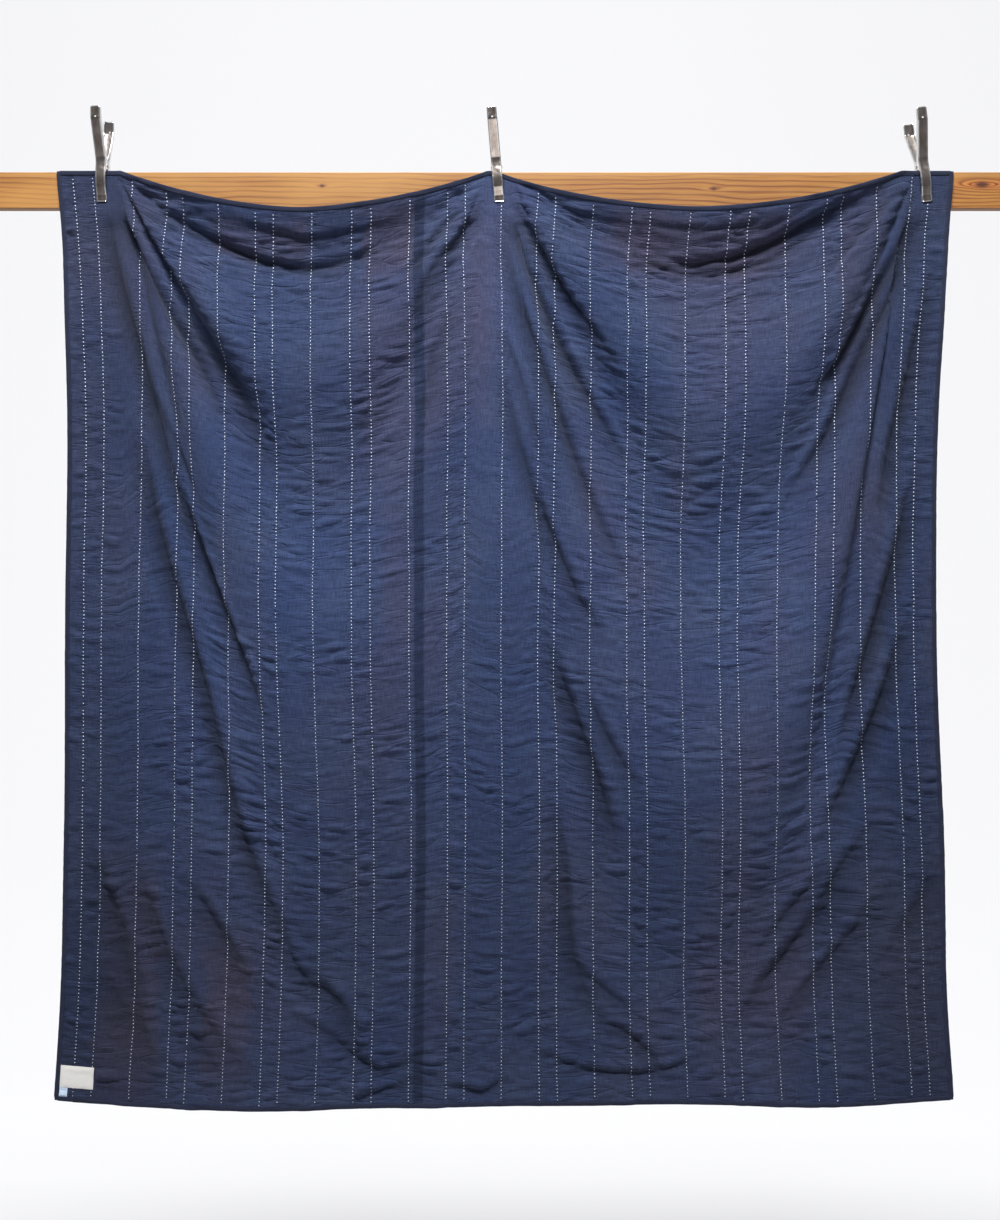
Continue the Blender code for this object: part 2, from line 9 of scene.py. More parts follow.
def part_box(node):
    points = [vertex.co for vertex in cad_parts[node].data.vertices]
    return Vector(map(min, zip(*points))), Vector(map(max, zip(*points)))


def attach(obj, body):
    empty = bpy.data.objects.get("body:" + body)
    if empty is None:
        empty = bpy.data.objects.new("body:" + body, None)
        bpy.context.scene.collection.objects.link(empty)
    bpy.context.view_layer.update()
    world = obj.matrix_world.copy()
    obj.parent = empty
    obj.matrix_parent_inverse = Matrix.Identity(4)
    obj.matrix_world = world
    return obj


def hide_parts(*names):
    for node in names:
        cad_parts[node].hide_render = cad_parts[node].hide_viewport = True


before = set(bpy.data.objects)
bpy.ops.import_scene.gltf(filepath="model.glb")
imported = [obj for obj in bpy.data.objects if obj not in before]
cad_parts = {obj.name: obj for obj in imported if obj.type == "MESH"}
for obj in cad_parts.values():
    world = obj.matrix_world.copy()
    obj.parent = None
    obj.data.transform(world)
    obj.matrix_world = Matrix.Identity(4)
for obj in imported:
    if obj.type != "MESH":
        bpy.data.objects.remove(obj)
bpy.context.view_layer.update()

# -------- sizes (metres)
QUILT_WIDTH = 2.235
QUILT_LENGTH = 2.286
QUILT_THICK = 0.003
BINDING_WIDTH = 0.010
BINDING_THICK = 0.0008
GAP = 0.0003
BINDING_GAP = 0.0005
CLAMP_FLAT = 0.023              # half the width a clamp holds flat
FIELD_STEP = 0.010              # from there to where a swag starts
# The label's left, right, top and foot, across and down the flat quilt.
LABEL_SIDES = (0.0108, 0.094, 2.199, 2.253)

rail_low, rail_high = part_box("rail")
RAIL_HEIGHT = rail_high[2]
RAIL_FRONT = -rail_low[1]
CLAMPED = RAIL_FRONT + GAP + 0.001 + BINDING_GAP + QUILT_THICK / 2
CLAMP_LINES = (0.104, 1.104, 2.175)     # where the clamps grip, across the quilt
FAN_SLANTS = (0.27, 0.06, -0.25)        # how the taut cloth below each clamp slants
OFF_RAIL = 0.0020                       # how near the free cloth comes to the rail

# The rows of running stitch: a narrow space and two wide ones, over and over.
FIRST_STITCH_ROW = 0.045
NARROW_SPACE = 0.045
WIDE_SPACE = 0.0935
STITCH_ROWS = 29
STITCH_LENGTH = 0.0033
STITCH_PITCH = 0.0090
STITCH_INSET = 0.0125           # from the quilt's edge to the first stitch

# The front is pieced from three lengths of cloth; the first seam's turned edges show darker.
SEAMS = (0.889, 1.115)
SEAM_BAND = 0.029

# The grid that the cloth is worked out on, and how far a clamp stills the cloth round its grip.
COLUMN_STEP = 0.005
CLOTH_ROWS = 440                # points down each column
STILL_BESIDE, STILL_BELOW = 0.055, 0.150

DEEP_CREASE = 0.011             # a trough this deep has the darkest painted shade
LABEL_HOLDS = 0.012             # how far round the label its sewing flattens the puckers
FLOW = 0.14                     # how much the puckers follow the folds' own lines
PUCKER_LENGTH = 0.030           # from one pucker to the next
PUCKER_SLOPE = 0.400            # how steep they are
PUCKER_REACH = 0.115            # how far one runs across

# The photograph's camera.
PHOTO_HEIGHT = 1220
CAMERA_AT = (0.0, -3.011, -0.984)
FOCAL_PIXELS = 1224.5
SENSOR_HEIGHT = 24.0


# -------- how the cloth hangs
def rows_of(columns, *rows):
    """A table: each row's values under the names of the columns."""
    return [dict(zip(columns.split(), row)) for row in rows]


# A row for each fold line of a swag between two clamps, close to the solid's own. drop: down the
# cloth at its lowest point; forward: in front of the rail's middle plane; low_at: where the lowest
# point is; bow: how round the line is to each side; hold: how near the clamps its depth holds.
LEFT_SWAG = rows_of(
    "drop forward low_at bow hold",
    (0.0, 0.061, 0.0, (2.0, 2.0), (2.0, 2.0)),
    (0.14, 0.022, 0.1, (1.5, 1.5), (2.6, 2.6)),
    (0.415, 0.05, 0.05, (1.2, 1.5), (3.0, 2.0)),
    (0.72, 0.012, 0.1, (0.9, 1.3), (3.0, 1.6)),
    (1.09, 0.054, 0.15, (1.3, 1.8), (4.0, 1.6)),
    (2.03, 0.016, 0.3, (1.2, 2.2), (4.0, 2.0)),
    (2.5, 0.03, 0.3, (1.2, 2.2), (4.0, 2.0)))
RIGHT_SWAG = rows_of(
    "drop forward low_at bow hold",
    (0.0, 0.063, 0.0, (2.0, 2.0), (2.0, 2.0)),
    (0.165, 0.022, -0.1, (0.8, 0.9), (2.6, 2.6)),
    (0.52, 0.055, 0.0, (1.0, 1.2), (3.0, 3.0)),
    (0.85, 0.01, 0.04, (1.1, 1.3), (3.0, 3.0)),
    (1.42, 0.058, 0.0, (1.9, 1.9), (3.5, 3.5)),
    (1.98, 0.014, -0.1, (2.4, 2.0), (4.0, 3.5)),
    (2.5, 0.032, -0.1, (2.4, 2.0), (4.0, 3.5)))
SWAG_ROUND = 0.22               # how round a fold line is at its lowest point
LINE_APART = 0.003              # the least space from one fold line to the next
FOLD_ROOM = 0.015               # the space at which a fold has half its depth
UNDER_CLAMP = rows_of(
    "down forward",
    (0.0, CLAMPED), (0.078, CLAMPED), (0.092, CLAMPED + 0.001), (0.42, 0.038), (0.95, 0.042),
    (1.6, 0.034), (2.3, 0.026))
TOP_SAGS = rows_of(
    "start end sag bow",
    (0.155, 1.075, 0.102, 1.7), (1.093, 2.106, 0.101, 1.75))
SIDE_EDGES = rows_of(
    "down left right",
    (0.0, -1.084, 1.109), (0.2, -1.066, 1.091), (0.55, -1.05, 1.064), (1.15, -1.054, 1.057),
    (1.7, -1.06, 1.08), (2.0, -1.068, 1.086), (2.286, -1.086, 1.105))
FOOT = rows_of(
    "across height",
    (0.0, -2.178), (0.1, -2.186), (0.45, -2.203), (0.9, -2.196), (1.5, -2.188), (2.0, -2.191),
    (2.235, -2.177))
# Where the columns of the cloth drift sideways, and how far.
DRIFTS = rows_of(
    "across down width height shift",
    (0.062, 0.06, 0.034, 0.24, -0.01),
    (0.62, 0.65, 0.24, 0.65, -0.02),
    (1.87, 0.55, 0.22, 0.7, 0.02))

# The creases, each along a smooth line through (across, down) points: depth is how far it is sunk,
# and width is half the breadth of its steep side. On its gentle side the cloth takes ease times as
# far to come back: that is the right going down, or above going right, and below 0 the other side.
CREASES = rows_of(
    "depth width ease path",
    # below the left clamp
    (0.014, 0.0084, -3.2, ((0.115, 0.09), (0.134, 0.24), (0.179, 0.42), (0.272, 0.73), (0.45, 1.12),
     (0.514, 1.3))),
    (0.0132, 0.0084, -3.2, ((0.13, 0.08), (0.169, 0.15), (0.252, 0.28), (0.361, 0.44), (0.42, 0.56))),
    (0.0062, 0.0072, -3.2, ((0.225, 0.55), (0.257, 0.62), (0.33, 0.76))),
    (0.0157, 0.0102, -3.2, ((0.19, 0.68), (0.243, 0.9), (0.361, 1.25), (0.45, 1.58), (0.574, 1.88))),
    # across the left swag
    (0.0115, 0.0286, -1.4, ((0.29, 0.3), (0.381, 0.4), (0.46, 0.5), (0.54, 0.66))),
    (0.0113, 0.0102, -2.0, ((0.26, 0.07), (0.396, 0.1), (0.519, 0.13), (0.66, 0.15), (0.78, 0.13))),
    (0.0051, 0.0077, -2.0, ((0.44, 0.04), (0.569, 0.065), (0.667, 0.075), (0.8, 0.06))),
    # below the middle clamp, to the left
    (0.0093, 0.0094, 3.2, ((1.06, 0.07), (1.013, 0.13), (0.943, 0.2), (0.89, 0.3))),
    (0.0064, 0.0077, 3.2, ((1.01, 0.07), (0.953, 0.11), (0.87, 0.21))),
    (0.0057, 0.0099, 3.2, ((0.985, 0.32), (0.933, 0.43), (0.905, 0.58))),
    # below the middle clamp, to the right
    (0.014, 0.0084, -3.2, ((1.122, 0.07), (1.165, 0.16), (1.25, 0.35), (1.324, 0.48), (1.43, 0.65))),
    (0.0113, 0.009, -3.2, ((1.15, 0.06), (1.2, 0.14), (1.275, 0.25), (1.4, 0.4))),
    (0.0113, 0.009, -3.2, ((1.128, 0.15), (1.16, 0.31), (1.26, 0.55), (1.334, 0.73), (1.43, 0.93))),
    (0.0056, 0.0072, -3.2, ((1.118, 0.4), (1.155, 0.49), (1.21, 0.66))),
    (0.0097, 0.0096, -3.2, ((1.118, 0.52), (1.15, 0.64), (1.225, 0.83), (1.314, 1.01), (1.375, 1.1))),
    (0.0123, 0.012, -3.2, ((1.25, 1.16), (1.299, 1.3), (1.363, 1.48), (1.4, 1.62))),
    (0.0078, 0.0096, -3.2, ((1.34, 1.26), (1.393, 1.37), (1.46, 1.48))),
    # across the right swag
    (0.0123, 0.0102, -2.0, ((1.47, 0.15), (1.639, 0.135), (1.763, 0.105), (1.862, 0.065),
     (1.96, 0.035))),
    (0.0088, 0.0084, -2.0, ((1.56, 0.17), (1.654, 0.165), (1.778, 0.14), (1.921, 0.07))),
    (0.0043, 0.0077, -2.0, ((1.47, 0.05), (1.63, 0.055), (1.79, 0.045))),
    # below the right clamp
    (0.0148, 0.0096, 3.2, ((2.15, 0.08), (2.113, 0.18), (2.039, 0.29), (1.96, 0.42), (1.9, 0.48))),
    (0.0132, 0.0096, 3.2, ((2.156, 0.14), (2.099, 0.28), (2.02, 0.41), (1.921, 0.61), (1.84, 0.73))),
    (0.0123, 0.009, 3.2, ((2.19, 0.28), (2.153, 0.5), (2.108, 0.7), (2.09, 0.83))),
    (0.0148, 0.0096, 3.2, ((2.16, 0.8), (2.133, 0.93), (2.059, 1.16), (1.98, 1.38))),
    (0.014, 0.0102, 3.2, ((2.142, 1.14), (2.094, 1.28), (2.005, 1.46), (1.93, 1.59))),
    (0.0054, 0.0072, 3.2, ((1.9, 0.22), (1.985, 0.14), (2.09, 0.06))),
    # the foot, from its left end to its middle
    (0.0079, 0.0121, -3.2, ((0.09, 1.7), (0.129, 1.82), (0.18, 1.98), (0.25, 2.22))),
    (0.0079, 0.0121, -3.2, ((0.2, 1.73), (0.243, 1.85), (0.327, 2.01), (0.48, 2.2))),
    (0.0064, 0.0099, -3.2, ((0.33, 1.74), (0.391, 1.82), (0.47, 1.94))),
    (0.0086, 0.0099, -3.2, ((0.55, 1.85), (0.618, 1.96), (0.687, 2.0), (0.75, 2.09))),
    (0.0072, 0.0088, -2.0, ((0.61, 2.06), (0.687, 2.11), (0.8, 2.19), (0.92, 2.155))),
    (0.0064, 0.0072, -2.0, ((0.745, 2.262), (0.825, 2.24), (0.9, 2.21))),
    (0.0064, 0.0072, -2.0, ((0.99, 2.225), (1.062, 2.25), (1.12, 2.22))),
    # the foot, from its middle to its right end
    (0.0093, 0.011, -3.2, ((1.25, 1.56), (1.275, 1.7), (1.29, 1.88), (1.319, 1.99), (1.36, 2.07))),
    (0.0072, 0.0088, -3.2, ((1.285, 1.92), (1.363, 1.99), (1.44, 2.05))),
    (0.0079, 0.0088, -3.2, ((1.35, 2.06), (1.457, 2.13), (1.52, 2.21))),
    (0.0079, 0.0077, -2.0, ((1.21, 2.155), (1.314, 2.192), (1.48, 2.21), (1.61, 2.17))),
    (0.0086, 0.011, 3.2, ((2.03, 1.62), (1.961, 1.71), (1.842, 1.89), (1.71, 2.07))),
    (0.0072, 0.0099, 3.2, ((1.94, 1.68), (1.857, 1.78), (1.77, 1.89))),
    (0.0072, 0.011, 3.2, ((2.05, 1.79), (1.985, 1.87), (1.891, 1.97), (1.81, 2.08))),
    # between those, on the left
    (0.007, 0.012, -3.2, ((0.08, 1.69), (0.15, 1.84), (0.215, 2.02))),
    (0.0064, 0.012, -3.2, ((0.1, 1.95), (0.15, 2.04), (0.222, 2.15))),
    (0.0074, 0.012, -3.2, ((0.335, 1.75), (0.41, 1.87), (0.472, 1.99))),
    (0.006, 0.012, -3.2, ((0.318, 2.08), (0.365, 2.14), (0.415, 2.205))),
    (0.0064, 0.012, -3.2, ((0.64, 1.935), (0.735, 2.11), (0.79, 2.195))),
    # between those, on the right
    (0.0074, 0.012, 3.2, ((1.985, 1.7), (1.925, 1.806), (1.81, 1.93))),
    (0.0064, 0.012, 3.2, ((2.205, 1.725), (2.155, 1.816), (2.1, 1.89))),
    (0.006, 0.012, 3.2, ((1.86, 1.86), (1.81, 1.93), (1.755, 2.0))))

# Where other cloth shows through the overdye: warm is a red-brown, and below 0 a purer blue.
PATCHES = rows_of(
    "across down half_width half_height warm",
    (0.52, 0.09, 0.12, 0.05, 0.75),
    (0.84, 0.1, 0.07, 0.09, 0.8),
    (0.93, 0.42, 0.16, 0.22, 0.25),
    (0.17, 1.95, 0.08, 0.3, 0.65),
    (0.42, 2.05, 0.06, 0.2, 0.55),
    (1.6, 0.1, 0.22, 0.07, 0.65),
    (1.75, 1.95, 0.14, 0.3, 0.4),
    (2.0, 0.25, 0.06, 0.22, 0.45),
    (1.1, 0.35, 0.07, 0.3, 0.15),
    (1.1, 1.75, 0.1, 0.3, -0.55),
    (0.68, 0.95, 0.14, 0.2, -0.35),
    (0.3, 0.9, 0.1, 0.25, -0.45),
    (1.45, 0.55, 0.09, 0.25, -0.4),
    (2.15, 1.2, 0.05, 0.5, -0.45))


def smooth(u):
    u = np.clip(u, 0.0, 1.0)
    return u * u * (3.0 - 2.0 * u)


def bell(u):
    return np.exp(-u * u)


def table(rows, key):
    return np.array([row[key] for row in rows])


def place_in(x, xs):
    """Which two of the places xs each x lies between."""
    return np.clip(np.searchsorted(xs, x, side="right") - 1, 0, len(xs) - 2)


def eased(x, rows, at, key):
    """A table's column, eased from row to row."""
    xs, ys = table(rows, at), table(rows, key)
    i = place_in(x, xs)
    return ys[i] + (ys[i + 1] - ys[i]) * smooth((x - xs[i]) / (xs[i + 1] - xs[i]))


def curved(x, xs, ys):
    """Values along a smooth curve through the given ones."""
    slope = np.gradient(ys, xs)
    i = place_in(x, xs)
    step = xs[i + 1] - xs[i]
    u = np.clip((x - xs[i]) / step, 0.0, 1.0)
    start = (1 + 2 * u) * (1 - u) ** 2 * ys[i] + u * (1 - u) ** 2 * step * slope[i]
    end = u * u * (3 - 2 * u) * ys[i + 1] + u * u * (u - 1) * step * slope[i + 1]
    return start + end


def fold_rise(t, row):
    """How far up its line a fold stands at t: 0 at its lowest point and 1 at the clamps."""
    left = t < row["low_at"]
    reach = np.where(left, 1 + row["low_at"], 1 - row["low_at"])
    s = np.clip(np.abs(t - row["low_at"]) / reach, 0.0, 1.0)
    r = SWAG_ROUND
    soft = (np.sqrt(s * s + r * r) - r) / (math.sqrt(1 + r * r) - r)
    return soft ** np.where(left, *row["bow"])


def swag_depth_and_flow(a, b, start, end, rows, under):
    """The depth of the nested folds between two clamps, and the way the puckers run there."""
    t = np.clip(2 * (a - start) / (end - start) - 1, -1.0, 1.0)
    lines, depths = [], []
    for row in rows:
        line = row["drop"] * (1 - fold_rise(t, row))
        lines.append(np.maximum(line, lines[-1] + LINE_APART) if lines else line)
    for k, row in enumerate(rows):
        room = lines[min(k + 1, len(rows) - 1)] - lines[max(k - 1, 0)]
        hold = 1 - np.abs(t) ** np.where(t < 0, *row["hold"])
        depths.append(under + (row["forward"] - under) * hold * room / (room + FOLD_ROOM))
    depth = depths[-1]
    level = np.full_like(b, rows[-1]["drop"])
    for k in range(len(rows) - 1):
        u = (b - lines[k]) / (lines[k + 1] - lines[k])
        inside = (u >= 0) & (u < 1)
        depth = np.where(inside, depths[k] + (depths[k + 1] - depths[k]) * smooth(u), depth)
        drops = rows[k]["drop"] + (rows[k + 1]["drop"] - rows[k]["drop"]) * u
        level = np.where(inside, drops, level)
    follow = FLOW * (1 - t ** 4) * (1 - 0.65 * smooth(b / 1.2))
    return depth, b + follow * (level - b)


def cloth_depth_and_flow(a, b):
    """How far forward the cloth is, and a measure down it that follows the folds a little."""
    under = eased(b, UNDER_CLAMP, "down", "forward")
    depth, flow = under, b
    inset = CLAMP_FLAT + FIELD_STEP
    for start, end, rows in zip(CLAMP_LINES, CLAMP_LINES[1:], (LEFT_SWAG, RIGHT_SWAG)):
        swag = swag_depth_and_flow(a, b, start + inset, end - inset, rows, under)
        between = (a > start) & (a < end)
        depth, flow = np.where(between, swag, (depth, flow))
    return depth, flow


def top_edge(a):
    z = np.full_like(a, RAIL_HEIGHT)
    for row in TOP_SAGS:
        t = np.clip(np.abs(2 * (a - row["start"]) / (row["end"] - row["start"]) - 1), 0.0, 1.0)
        z = z - row["sag"] * (1 - t ** row["bow"])
    return z


def share_along(rate, places, axis):
    """The running total of a rate along an axis, as a share of its whole."""
    rate = np.moveaxis(rate, axis, -1)
    steps = (rate[..., 1:] + rate[..., :-1]) / 2 * np.diff(places)
    total = np.concatenate([np.zeros(steps.shape[:-1] + (1,)), np.cumsum(steps, -1)], -1)
    return np.moveaxis(total / total[..., -1:], -1, axis)


def wave_noise(x, y, seed):
    """Smooth noise between about -1 and 1, with one bump for each unit of x and y."""
    cells = 128
    angle = np.random.default_rng(seed).uniform(0, math.tau, (cells, cells))
    i, j = np.floor(x).astype(int), np.floor(y).astype(int)
    u, v = x - i, y - j

    def corner(di, dj):
        turn = angle[(i + di) % cells, (j + dj) % cells]
        return np.cos(turn) * (u - di) + np.sin(turn) * (v - dj)

    su, sv = smooth(u), smooth(v)
    above = corner(0, 0) * (1 - su) + corner(1, 0) * su
    below = corner(0, 1) * (1 - su) + corner(1, 1) * su
    return 1.6 * (above * (1 - sv) + below * sv)


def stitch_rows():
    """Where each row of running stitch lies, across the quilt."""
    spaces = [NARROW_SPACE if k % 3 == 0 else WIDE_SPACE for k in range(STITCH_ROWS - 1)]
    return np.cumsum([FIRST_STITCH_ROW, *spaces])


def crease_shape(a, b, row):
    """How sunk the cloth is along one crease: 1 in its trough, and below 0 on its low ridges."""
    points = np.array(row["path"])
    along = np.linspace(0, 1, 400)
    at = np.linspace(0, 1, len(points))
    line_a, line_b = curved(along, at, points[:, 0]), curved(along, at, points[:, 1])
    ease = abs(row["ease"])
    reach = 4 * row["width"] * ease
    near = (a > line_a.min() - reach) & (a < line_a.max() + reach)
    near &= (b > line_b.min() - reach) & (b < line_b.max() + reach)
    from_a = a[near][:, None] - line_a
    from_b = b[near][:, None] - line_b
    distance = np.hypot(from_a, from_b)
    k = distance.argmin(1)
    picked = np.arange(len(k))
    turn = from_a[picked, k] * np.gradient(line_b)[k] - from_b[picked, k] * np.gradient(line_a)[k]
    steep = turn * row["ease"] < 0
    s = distance[picked, k] / (row["width"] * np.where(steep, 1.0, ease))
    taper = np.sin(np.pi * (0.03 + 0.94 * along[k])) ** 0.6
    ridge = np.where(steep, 0.35, 0.12) * np.exp(-((s - 2.2) ** 2) / 1.4)
    sunk = np.zeros_like(a)
    sunk[near] = (np.exp(-s ** 1.4) - ridge) * taper
    return sunk


def fan_share(a, b):
    """How far a place lies in the taut cloth that fans out below a clamp, from 0 to 1."""
    fans = [bell((a - line - slant * b) / (0.05 + 0.15 * b))
            for line, slant in zip(CLAMP_LINES, FAN_SLANTS)]
    return np.max(fans, 0) * (1 - smooth((b - 0.55) / 0.75))


def inside_of(a, b, sides):
    """How far inside an oblong's left, right, top and foot each place is."""
    left, right, top, foot = sides
    return np.minimum(np.minimum(a - left, right - a), np.minimum(b - top, foot - b))


def pucker_shape(a, b, flow, depth):
    """The small puckers that the running stitch draws up, and how gathered each place is."""
    warp = 0.45 * wave_noise(a / 0.16, b / 0.12, 11)
    rows = stitch_rows()
    space = np.searchsorted(rows, a)
    edges = np.concatenate([[0.0], rows, [QUILT_WIDTH]])
    within = (a - edges[space]) / (edges[space + 1] - edges[space])
    height = np.zeros_like(a)
    for k, share in enumerate((1.0, 0.45)):
        at = flow / PUCKER_LENGTH * 1.9 ** k
        height += share * 0.65 * wave_noise(at + warp, a / PUCKER_REACH * 1.6 ** k, 20 + k)
        height += share * 0.60 * wave_noise(1.3 * at + warp, space * 3.7 + within * 0.9, 40 + k)
    crest = np.sqrt(height ** 2 + 0.004) - 0.34
    puff = 0.35 + 0.65 * np.sin(np.pi * np.clip(within, 0, 1)) ** 0.7
    patchy = smooth(0.35 + 1.00 * wave_noise(a / 0.21, b / 0.12, 31))
    gathered = 0.25 + 0.50 * patchy + 0.35 * smooth((0.050 - depth) / 0.030)
    gathered *= 1 - 0.85 * fan_share(a, b)
    gathered[(a < CLAMP_LINES[0]) | (a > CLAMP_LINES[-1])] *= 0.85
    gathered *= 1 - 0.85 * smooth(1 + inside_of(a, b, LABEL_SIDES) / LABEL_HOLDS)
    return PUCKER_SLOPE * PUCKER_LENGTH * crest * puff * gathered, gathered


class Cloth:
    """The hung quilt's middle surface, with its creases and puckers, read anywhere on it."""

    def __init__(self):
        self.a = self.columns()
        self.b = np.linspace(0, QUILT_LENGTH, CLOTH_ROWS)
        a, b = np.meshgrid(self.a, self.b)
        depth, self.flow = cloth_depth_and_flow(a, b)
        base = self.hang(a, b, depth)
        normals = self.normals_of(base)
        relief, self.puckered = pucker_shape(a, b, self.flow, depth)
        self.crease_shade = np.zeros_like(a)
        free = self.freedom(a, b)
        for row in CREASES:
            sunk = crease_shape(a, b, row) * free
            relief -= row["depth"] * sunk
            # crease_shade: how deep in a crease each place lies, for the painted shade there
            self.crease_shade = np.maximum(self.crease_shade, sunk * row["depth"] / DEEP_CREASE)
        relief *= free
        self.points = base + normals * relief[..., None]
        self.keep_off_rail()
        self.normals = self.normals_of(self.points)

    @staticmethod
    def columns():
        """Columns a step apart, with one on each row of stitch and on each seam."""
        edges = np.sort([0.0, *stitch_rows(), *SEAMS, QUILT_WIDTH])
        columns = [0.0]
        for start, end in zip(edges, edges[1:]):
            count = max(1, round((end - start) / COLUMN_STEP))
            columns += list(np.linspace(start, end, count + 1)[1:])
        return np.array(columns)

    def hang(self, a, b, depth):
        """The surface without its relief, laid so that steps across and down keep their length."""
        slope_down, slope_across = np.gradient(depth, self.b, self.a)
        top = top_edge(self.a)
        foot = curved(self.a, table(FOOT, "across"), table(FOOT, "height"))
        fall = share_along(np.sqrt(np.clip(1 - slope_down ** 2, 0.05, 1)), self.b, 0)
        z = top - (top - foot) * fall
        slope_up = np.gradient(z, self.a, axis=1)
        run = np.sqrt(np.clip(1 - slope_across ** 2 - slope_up ** 2, 0.05, 1))
        left, right = (curved(self.b, table(SIDE_EDGES, "down"), table(SIDE_EDGES, side))[:, None]
                       for side in ("left", "right"))
        x = left + (right - left) * share_along(run, self.a, 1)
        for row in DRIFTS:
            beside = (a - row["across"]) / row["width"]
            below = (b - row["down"]) / row["height"]
            x = x + row["shift"] * bell(beside) * bell(below)
        return np.stack([x, -depth, z], -1)

    def normals_of(self, points):
        normals = np.cross(np.gradient(points, axis=1), np.gradient(points, axis=0))
        normals *= -np.sign(normals[..., 1:2])
        return normals / np.linalg.norm(normals, axis=-1, keepdims=True)

    @staticmethod
    def freedom(a, b):
        """0 where a clamp holds the cloth flat, rising to 1 away from it."""
        beside = np.min([np.abs(a - line) for line in CLAMP_LINES], 0) / STILL_BESIDE
        return smooth((np.maximum(beside, b / STILL_BELOW) - 0.55) / 0.45)

    def keep_off_rail(self):
        """Only the clamped cloth comes nearer to the rail than the free cloth may."""
        nearest = -(RAIL_FRONT + OFF_RAIL + QUILT_THICK / 2)
        beside_rail = self.points[..., 2] > -0.03
        held = np.abs(self.points[..., 1] + CLAMPED) < 0.0003
        too_near = beside_rail & ~held & (self.points[..., 1] > nearest)
        self.points[..., 1] = np.where(too_near, nearest, self.points[..., 1])

    def read(self, field, a, b):
        """A field's values at places across and down, which may be arrays."""
        i = np.interp(a, self.a, np.arange(len(self.a)))
        j = np.interp(b, self.b, np.arange(len(self.b)))
        i0 = np.minimum(i.astype(int), len(self.a) - 2)
        j0 = np.minimum(j.astype(int), len(self.b) - 2)
        u, v = (i - i0)[..., None], (j - j0)[..., None]
        above = field[j0, i0] * (1 - u) + field[j0, i0 + 1] * u
        below = field[j0 + 1, i0] * (1 - u) + field[j0 + 1, i0 + 1] * u
        return above * (1 - v) + below * v

    def normal(self, a, b):
        """The way out of the cloth, towards the viewer."""
        normal = self.read(self.normals, a, b)
        return normal / np.linalg.norm(normal, axis=-1, keepdims=True)

    def point(self, a, b, proud=0.0):
        """Points on the cloth, or proud of its middle surface, towards the viewer."""
        a, b, proud = np.broadcast_arrays(*(np.asarray(value, float) for value in (a, b, proud)))
        return self.read(self.points, a, b) + self.normal(a, b) * proud[..., None]

    def beyond(self, a, b, out, past, proud):
        """Points past the cloth's edge, out in the direction (out) across and down."""
        inner = self.point(a - out[0] * 0.005, b - out[1] * 0.005, proud)
        edge = self.point(a, b, proud)
        away = (edge - inner) / np.linalg.norm(edge - inner)
        return edge + away * past


# -------- mesh helpers
def link(name, data, material=None):
    piece = bpy.data.objects.new(name, data)
    bpy.context.scene.collection.objects.link(piece)
    if material:
        data.materials.append(material)
    return piece


def mesh_from(name, points, faces, material, uv=None, fields=None):
    """A mesh object from arrays; uv is (across, down), and a field a number, for each point."""
    mesh = bpy.data.meshes.new(name)
    mesh.from_pydata([tuple(p) for p in points], [], [tuple(int(k) for k in f) for f in faces])
    if uv is not None:
        layer = mesh.uv_layers.new(name="cloth")
        corners = np.empty(len(mesh.loops), dtype=np.int32)
        mesh.loops.foreach_get("vertex_index", corners)
        layer.data.foreach_set("uv", np.asarray(uv, np.float32)[corners].ravel())
    for key, values in (fields or {}).items():
        attribute = mesh.attributes.new(key, "FLOAT", "POINT")
        attribute.data.foreach_set("value", np.asarray(values, np.float32).ravel())
    mesh.shade_smooth()
    return link(name, mesh, material)


def grid_faces(rows, columns, close_rows=False, close_columns=False):
    """Faces between the points of a grid, which may close on itself either way."""
    index = np.arange(rows * columns).reshape(rows, columns)
    if close_rows:
        index = np.vstack([index, index[:1]])
    if close_columns:
        index = np.hstack([index, index[:, :1]])
    quads = np.stack([index[:-1, :-1], index[1:, :-1], index[1:, 1:], index[:-1, 1:]], -1)
    return quads.reshape(-1, 4)


def adopt(piece, slot, *nodes):
    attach(piece, "root")
    if nodes:
        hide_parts(*nodes)
    return piece


# -------- materials
NAVY_DEEP, NAVY_PALE = (0.0214, 0.0330, 0.0826), (0.0274, 0.0408, 0.0905)
WARM_UNDER, COOL_UNDER = (0.0390, 0.0362, 0.070), (0.0132, 0.0285, 0.0825)
BINDING_DEEP, BINDING_PALE = (0.007, 0.010, 0.026), (0.015, 0.020, 0.046)
SKY_SHEEN = (0.70, 0.76, 1.0)
WAVE_LENGTH = 0.314             # a wave texture of this scale has one band to a metre


